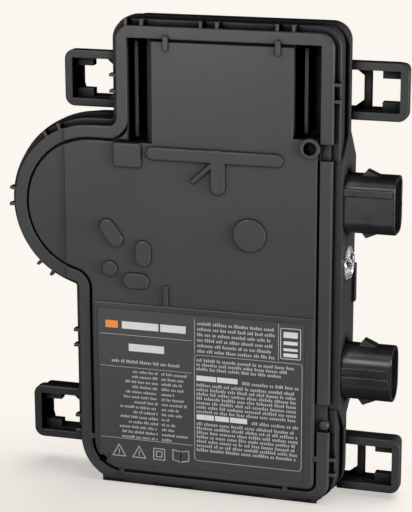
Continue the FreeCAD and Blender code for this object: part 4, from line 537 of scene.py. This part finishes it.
class INVERTER_OT_electronics_finish(bpy.types.Operator):
    """Finishes of the circuit board, its parts and the resin"""
    bl_idname = "inverter.electronics_finish"
    bl_label = "Electronics finish"

    def execute(self, context):
        finish_nodes(solder_mask(), "circuit_board")
        finish_nodes(metal("can_aluminium", (0.75, 0.76, 0.78), (3000.0, 3000.0, 60.0)),
                     "input_capacitors", "crystal")
        finish_nodes(metal("spreader_aluminium", (0.8, 0.8, 0.82), (80.0, 80.0, 3500.0),
                           smooth=0.25, rough=0.45), "heat_spreader")
        finish_nodes(metal("winding_copper", (0.72, 0.3, 0.12), (200.0, 5200.0, 200.0), smooth=0.22,
                           rough=0.34, depth=0.05 * MM),
                     "primary_winding", "secondary_winding", "resonant_inductor_winding",
                     "output_choke_windings")
        moulded = {
            "ferrite": ((0.05, 0.05, 0.055), 0.5, 0.7,
                        ("transformer_core_front", "transformer_core_back",
                         "resonant_inductor_core", "output_choke_core")),
            "bobbin_plastic": ((0.03, 0.03, 0.03), 0.4, 0.55, ("transformer_bobbin",)),
            "capacitor_case": ((0.03, 0.07, 0.3), 0.25, 0.4, ("film_capacitors",)),
            "safety_case": ((0.7, 0.4, 0.03), 0.25, 0.4, ("safety_capacitors",)),
            "chip_package": ((0.02, 0.02, 0.022), 0.5, 0.65,
                             ("control_chip", "gate_driver_chips", "line_signal_transformer",
                              "input_switches", "output_switches")),
            "varistor_coating": ((0.02, 0.08, 0.25), 0.2, 0.35, ("surge_varistors",)),
            "fuse_body": ((0.72, 0.7, 0.62), 0.2, 0.35, ("fuses",)),
            "pad_silicone": ((0.26, 0.38, 0.5), 0.6, 0.75, ("thermal_pads",)),
            "insulating_film": ((0.6, 0.28, 0.04), 0.15, 0.3, ("insulating_sheet",)),
            "potting_resin": ((0.03, 0.03, 0.033), 0.3, 0.5, ("potting_compound",)),
            "lamp_resin": ((0.75, 0.78, 0.74), 0.1, 0.2, ("status_lamp",)),
        }
        for name, (colour, smooth, rough, nodes) in moulded.items():
            finish_nodes(plastic(name, colour, smooth=smooth, rough=rough, mottle=0.12), *nodes)
        return {"FINISHED"}


def solder_mask():
    """Green lacquer over the weave and tracks of a circuit board."""
    made, tree, shader = new_finish("board_laminate")
    here = tree.place()
    tracks = tree.add("TexVoronoi", feature="DISTANCE_TO_EDGE", distance="CHEBYCHEV")
    tree.feed(tracks.inputs["Vector"], here)
    tracks.inputs["Scale"].default_value = 260.0
    line = tree.spread(tracks.outputs["Distance"], 0.06, 0.1)
    weave = tree.noise(here, 1400.0, detail=1.0)
    green = tree.blend(line, (0.02, 0.12, 0.05, 1.0), (0.01, 0.06, 0.025, 1.0))
    tree.feed(shader.inputs["Base Color"], green)
    tree.feed(shader.inputs["Roughness"], tree.spread(weave, 0.3, 0.7, 0.25, 0.4))
    bump(tree, shader, line, 0.03 * MM)
    return made


class INVERTER_OT_label_print(bpy.types.Operator):
    """Plain bars, rules and outlines printed on the rating label"""
    bl_idname = "inverter.label_print"
    bl_label = "Label print"

    def execute(self, context):
        values = context.scene.inverter_print
        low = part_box("rating_label")[0]
        chance = random.Random(values.seed)
        ink = plastic("print_ink", values.ink_colour, smooth=0.45, rough=0.6, mottle=0.06)
        grey = plastic("print_grey", [item * 0.55 for item in values.ink_colour],
                       smooth=0.45, rough=0.6, mottle=0.06)
        bold = Sheet(low, low.y)
        fine = Sheet(low, low.y)
        rules = Sheet(low, low.y)
        for left, level, height, widths in HEADINGS:
            heading_bars(bold, left, level, height, widths, HEADING_GAP)
        text_row(fine, chance, 6.3, 38.0, 47.7, ROW_PRINT)
        for row in range(RATING_ROWS):
            level = RATING_TOP - RATING_PITCH * row
            start = RATING_SPLIT - RATING_WIDTH * chance.uniform(0.5, 1.0)
            text_row(fine, chance, start, RATING_SPLIT, level, SMALL_PRINT)
            end = VALUE_START + chance.uniform(4.0, 13.0)
            text_row(fine, chance, VALUE_START, end, level, SMALL_PRINT)
        for row in range(NOTICE_ROWS):
            end = NOTICE_RIGHT - chance.uniform(0.0, 3.0)
            text_row(fine, chance, NOTICE_LEFT, end, NOTICE_TOP - NOTICE_PITCH * row, ROW_PRINT)
        warning_block(bold, fine, chance)
        for left, right, level in LEVEL_RULES:
            rules.bar(left, right, level - RULE_HALF, level + RULE_HALF)
        for sides in UPRIGHT_RULES:
            rules.bar(*sides)
        rules.loop(round_points(44.9, 93.9, 4.9, 54.4, 1.6), OUTLINE_WIDTH)
        pictograms(fine)
        blank_badge(bold)
        up = values.ink_thickness
        bold.finish("rating_print_bold", up, ink)
        fine.finish("rating_print_rows", up, grey)
        rules.finish("rating_print_rules", up, grey)
        mark = Sheet(low, low.y)
        mark.bar(3.6, 9.4, 63.6, 67.0)
        orange = plastic("print_orange", values.mark_colour, smooth=0.4, rough=0.55, mottle=0.05)
        mark.finish("rating_print_mark", up, orange)
        return {"FINISHED"}


def heading_bars(sheet, left, low, height, widths, gap):
    """Plain solid bars in place of a heading."""
    for width in widths:
        sheet.bar(left, left + width, low, low + height)
        left += width + gap


def text_row(sheet, chance, left, right, level, height):
    """Short marks of uneven height in groups, in place of a line of small print."""
    wide, gap = height * 0.42, height * 0.2
    x = left
    while x < right - wide:
        for _letter in range(chance.randint(2, 8)):
            if x > right - wide:
                break
            tall = height if chance.random() < 0.3 else height * 0.72
            sheet.bar(x, x + wide, level, level + tall)
            x += wide + gap
        x += height * 0.45


def warning_block(bold, fine, chance):
    """Three rows, then two headings, each with its rows."""
    left, right, top = WARNING_LEFT, WARNING_RIGHT, WARNING_TOP
    for row in range(3):
        text_row(fine, chance, left, right - 2.0 - row * 3.0, top - 3.0 - WARNING_PITCH * row, 1.45)
    for start, width in ((top - 12.3, (9.0, 9.4)), (top - 30.4, (8.0, 6.4, 7.9))):
        heading_bars(bold, left, start + 0.4, 2.4, width, 0.5)
        begin = left + sum(width) + 0.5 * len(width) + 1.6
        text_row(fine, chance, begin, right, start + 0.3, ROW_PRINT)
    for row in range(7):
        for first in (14.6, 32.7):
            end = right - chance.uniform(0.0, 1.5)
            text_row(fine, chance, left, end, top - first - WARNING_PITCH * row, ROW_PRINT)


def pictograms(sheet):
    """Two triangles, two squares one in the other, and an open booklet."""
    foot, tall, line = 3.3, 5.4, 0.42
    half = 3.05
    for x in (9.2, 18.7):
        sheet.loop([(x - half, foot), (x + half, foot), (x, foot + tall)], line)
        sheet.bar(x - 0.2, x + 0.2, foot + 1.4, foot + 3.3)
        sheet.bar(x - 0.2, x + 0.2, foot + 0.7, foot + 1.1)
    x, middle = 28.2, foot + 2.6
    for half in (2.6, 1.3):
        sheet.loop([(x - half, middle - half), (x + half, middle - half),
                    (x + half, middle + half), (x - half, middle + half)], line)
    x = 38.4
    for side in (-1, 1):
        page = [(x, foot), (x + side * 3.7, foot + 0.7), (x + side * 3.7, foot + 5.5),
                (x, foot + 4.8)]
        sheet.loop(page if side > 0 else page[::-1], line)


def blank_badge(sheet):
    """A blank frame with plain bars."""
    left, right, low, high = 84.2, 93.1, 56.3, 70.1
    for foot, tall in ((0.9, 1.6), (3.6, 1.2), (6.4, 1.6), (9.6, 2.6)):
        sheet.bar(left + 1.3, right - 1.3, low + foot, low + foot + tall)
    sheet.loop(round_points(left, right, low, high, 0.6, steps=2), OUTLINE_WIDTH)


class INVERTER_OT_status_lens(bpy.types.Operator):
    """Domed status lens with prisms pressed into it"""
    bl_idname = "inverter.status_lens"
    bl_label = "Status lens"

    def execute(self, context):
        values = context.scene.inverter_lens
        low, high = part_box("status_lens")
        wall = low.x + (high.x - low.x) * WALL_SHARE
        radius = (high.z - low.z) / 2
        middle = (low + high) / 2
        rise = high.x - wall
        stem = radius * STEM_SHARE
        levels = [(low.x, stem, 0.0), (wall, stem, 0.0), (wall, radius, 0.0)]
        levels += [(wall + rise * along, radius * out, share) for along, out, share in DOME_RINGS]
        shape = bmesh.new()
        rings = []
        count = values.facets * 2
        for number, (x, reach, share) in enumerate(levels):
            ring = []
            for step in range(count):
                angle = math.tau * (step + 0.5 * (number % 2)) / count
                sunk = values.prism_depth * share * (step % 2)
                ring.append(shape.verts.new((x - sunk, middle.y + reach * math.cos(angle),
                                             middle.z + reach * math.sin(angle))))
            rings.append(ring)
        for first, second in zip(rings, rings[1:]):
            for step in range(count):
                following = (step + 1) % count
                shape.faces.new((first[step], first[following], second[following], second[step]))
        shape.faces.new(rings[0][::-1])
        shape.faces.new(rings[-1])
        bmesh.ops.triangulate(shape, faces=shape.faces[:])
        bmesh.ops.recalc_face_normals(shape, faces=shape.faces[:])
        data = bpy.data.meshes.new("status_lens_dome")
        shape.to_mesh(data)
        shape.free()
        piece = bpy.data.objects.new("status_lens_dome", data)
        context.scene.collection.objects.link(piece)
        data.materials.append(lens_plastic())
        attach(piece, BODY)
        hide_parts("status_lens")
        return {"FINISHED"}


def lens_plastic():
    """Clear plastic over pressed prisms, with bright and dark facets painted in as their
    reflections.
    """
    made, tree, shader = new_finish("lens_plastic")
    here = tree.place()
    cells = tree.add("TexVoronoi", feature="F1")
    tree.feed(cells.inputs["Vector"], here)
    cells.inputs["Scale"].default_value = 700.0
    facet = tree.spread(cells.outputs["Color"], 0.25, 0.85)
    haze = tree.noise(here, 900.0, detail=3.0)
    # Painted reflection: each facet cell is painted bright or dark in the base colour.
    tree.feed(shader.inputs["Base Color"],
              tree.blend(facet, (0.015, 0.015, 0.017, 1.0), (0.5, 0.5, 0.52, 1.0)))
    tree.feed(shader.inputs["Roughness"], tree.spread(haze, 0.3, 0.7, 0.03, 0.12))
    shader.inputs["IOR"].default_value = 1.58
    shader.inputs["Coat Weight"].default_value = 1.0
    shader.inputs["Coat Roughness"].default_value = 0.03
    bump(tree, shader, tree.math("ADD", facet, haze), 0.25 * MM)
    return made


class INVERTER_OT_stage(bpy.types.Operator):
    """Pale floor, soft lights and the camera"""
    bl_idname = "inverter.stage"
    bl_label = "Stage"

    def execute(self, context):
        values = context.scene.inverter_stage
        low, high = [Vector(corner) for corner in CAD_BOX]
        centre = (low + high) / 2
        scene = context.scene
        scene.view_settings.view_transform = "Standard"
        floor = lay_floor(scene, low.z, values.floor_colour)
        world = bpy.data.worlds.new("studio")
        world.use_nodes = True
        backing = world.node_tree.nodes["Background"]
        backing.inputs["Color"].default_value = (1.0, 1.0, 1.0, 1.0)
        backing.inputs["Strength"].default_value = values.ambient
        scene.world = world
        key = soft_light(scene, "key_light", centre, *KEY_LIGHT, values.key_power)
        fill = soft_light(scene, "fill_light", centre, *FILL_LIGHT, values.fill_power)
        edge = soft_light(scene, "edge_light", centre, *EDGE_LIGHT, values.edge_power)
        edge.visible_diffuse = False
        above = sun_light(scene, "floor_light", FLOOR_LIGHT_FROM, values.floor_power)
        above.light_linking.receiver_collection = lighting_set("lit_floor", floor, "INCLUDE")
        unlit = lighting_set("unlit_floor", floor, "EXCLUDE")
        for light in (key, fill, edge):
            light.light_linking.receiver_collection = unlit
        aim = centre + AIM_OFFSET
        back = Vector((math.sin(values.azimuth) * math.cos(values.elevation),
                       -math.cos(values.azimuth) * math.cos(values.elevation),
                       math.sin(values.elevation)))
        camera = bpy.data.objects.new("camera", bpy.data.cameras.new("camera"))
        scene.collection.objects.link(camera)
        camera.data.lens = values.lens
        camera.data.sensor_width = SENSOR_WIDTH
        camera.data.clip_start = CLIP_START
        turn = (-back).to_track_quat("-Z", "Y").to_matrix() @ Matrix.Rotation(values.roll, 3, "Z")
        camera.matrix_world = Matrix.Translation(aim + back * values.distance) @ turn.to_4x4()
        scene.camera = camera
        return {"FINISHED"}


def lay_floor(scene, level, colour):
    """A wide floor that glows evenly to the camera and takes only its own light."""
    shape = bmesh.new()
    bmesh.ops.create_grid(shape, x_segments=FLOOR_STEPS, y_segments=FLOOR_STEPS, size=FLOOR_HALF)
    data = bpy.data.meshes.new("floor")
    shape.to_mesh(data)
    shape.free()
    floor = bpy.data.objects.new("floor", data)
    floor.location = (0.0, 0.0, level)
    scene.collection.objects.link(floor)
    made, tree, shader = new_finish("floor_paint")
    cloud = tree.noise(tree.place(), 3.0, detail=2.0)
    paler = opaque([min(item * 1.02, 1.0) for item in colour])
    seen = tree.add("LightPath").outputs["Is Camera Ray"]
    tree.feed(shader.inputs["Base Color"],
              tree.blend(seen, FLOOR_BOUNCE, tree.blend(cloud, opaque(colour), paler)))
    shader.inputs["Roughness"].default_value = 0.9
    shader.inputs["Specular IOR Level"].default_value = 0.0
    tree.feed(shader.inputs["Emission Color"], tree.blend(seen, BLACK, FLOOR_GLOW_TINT))
    shader.inputs["Emission Strength"].default_value = FLOOR_GLOW
    data.materials.append(made)
    return floor


def lighting_set(name, floor, state):
    """A collection that gives the floor to a light or keeps it from one."""
    made = bpy.data.collections.new(name)
    made.objects.link(floor)
    made.collection_objects[0].light_linking.link_state = state
    return made


def new_light(scene, name, kind, power):
    data = bpy.data.lights.new(name, kind)
    data.energy = power
    light = bpy.data.objects.new(name, data)
    scene.collection.objects.link(light)
    return light


def sun_light(scene, name, offset, power):
    """A wide sun that shines from the offset."""
    light = new_light(scene, name, "SUN", power)
    light.data.angle = FLOOR_LIGHT_SPREAD
    light.matrix_world = Vector(offset).to_track_quat("Z", "Y").to_matrix().to_4x4()
    return light


def soft_light(scene, name, target, offset, size, power):
    """A square light at the offset from the target, facing it."""
    light = new_light(scene, name, "AREA", power)
    light.data.shape = "SQUARE"
    light.data.size = size
    place = target + Vector(offset)
    turn = (target - place).to_track_quat("-Z", "Y")
    light.matrix_world = Matrix.Translation(place) @ turn.to_matrix().to_4x4()
    return light


class INVERTER_PT_panel(bpy.types.Panel):
    """The steps that finish the unit, in order"""
    bl_idname = "INVERTER_PT_panel"
    bl_label = "Micro Inverter"
    bl_space_type = "VIEW_3D"
    bl_region_type = "UI"
    bl_category = "Micro Inverter"

    def draw(self, context):
        for group in SETTINGS:
            values = getattr(context.scene, group)
            for name in values.bl_rna.properties.keys():
                if name not in ("rna_type", "name"):
                    self.layout.prop(values, name)
        for step in STEPS:
            self.layout.operator(step.bl_idname)


SETTINGS = {
    "inverter_housing": HousingSettings,
    "inverter_print": PrintSettings,
    "inverter_lens": LensSettings,
    "inverter_stage": StageSettings,
}
STEPS = (
    INVERTER_OT_housing_finish,
    INVERTER_OT_contact_finish,
    INVERTER_OT_electronics_finish,
    INVERTER_OT_label_print,
    INVERTER_OT_status_lens,
    INVERTER_OT_stage,
)


def register():
    for group in SETTINGS.values():
        bpy.utils.register_class(group)
    for step in STEPS:
        bpy.utils.register_class(step)
    bpy.utils.register_class(INVERTER_PT_panel)
    for name, group in SETTINGS.items():
        setattr(bpy.types.Scene, name, bpy.props.PointerProperty(type=group))


def unregister():
    for name in SETTINGS:
        delattr(bpy.types.Scene, name)
    bpy.utils.unregister_class(INVERTER_PT_panel)
    for step in reversed(STEPS):
        bpy.utils.unregister_class(step)
    for group in reversed(list(SETTINGS.values())):
        bpy.utils.unregister_class(group)


def main():
    register()
    for step in STEPS:
        family, name = step.bl_idname.split(".")
        getattr(getattr(bpy.ops, family), name)()


if __name__ == "__main__":
    main()
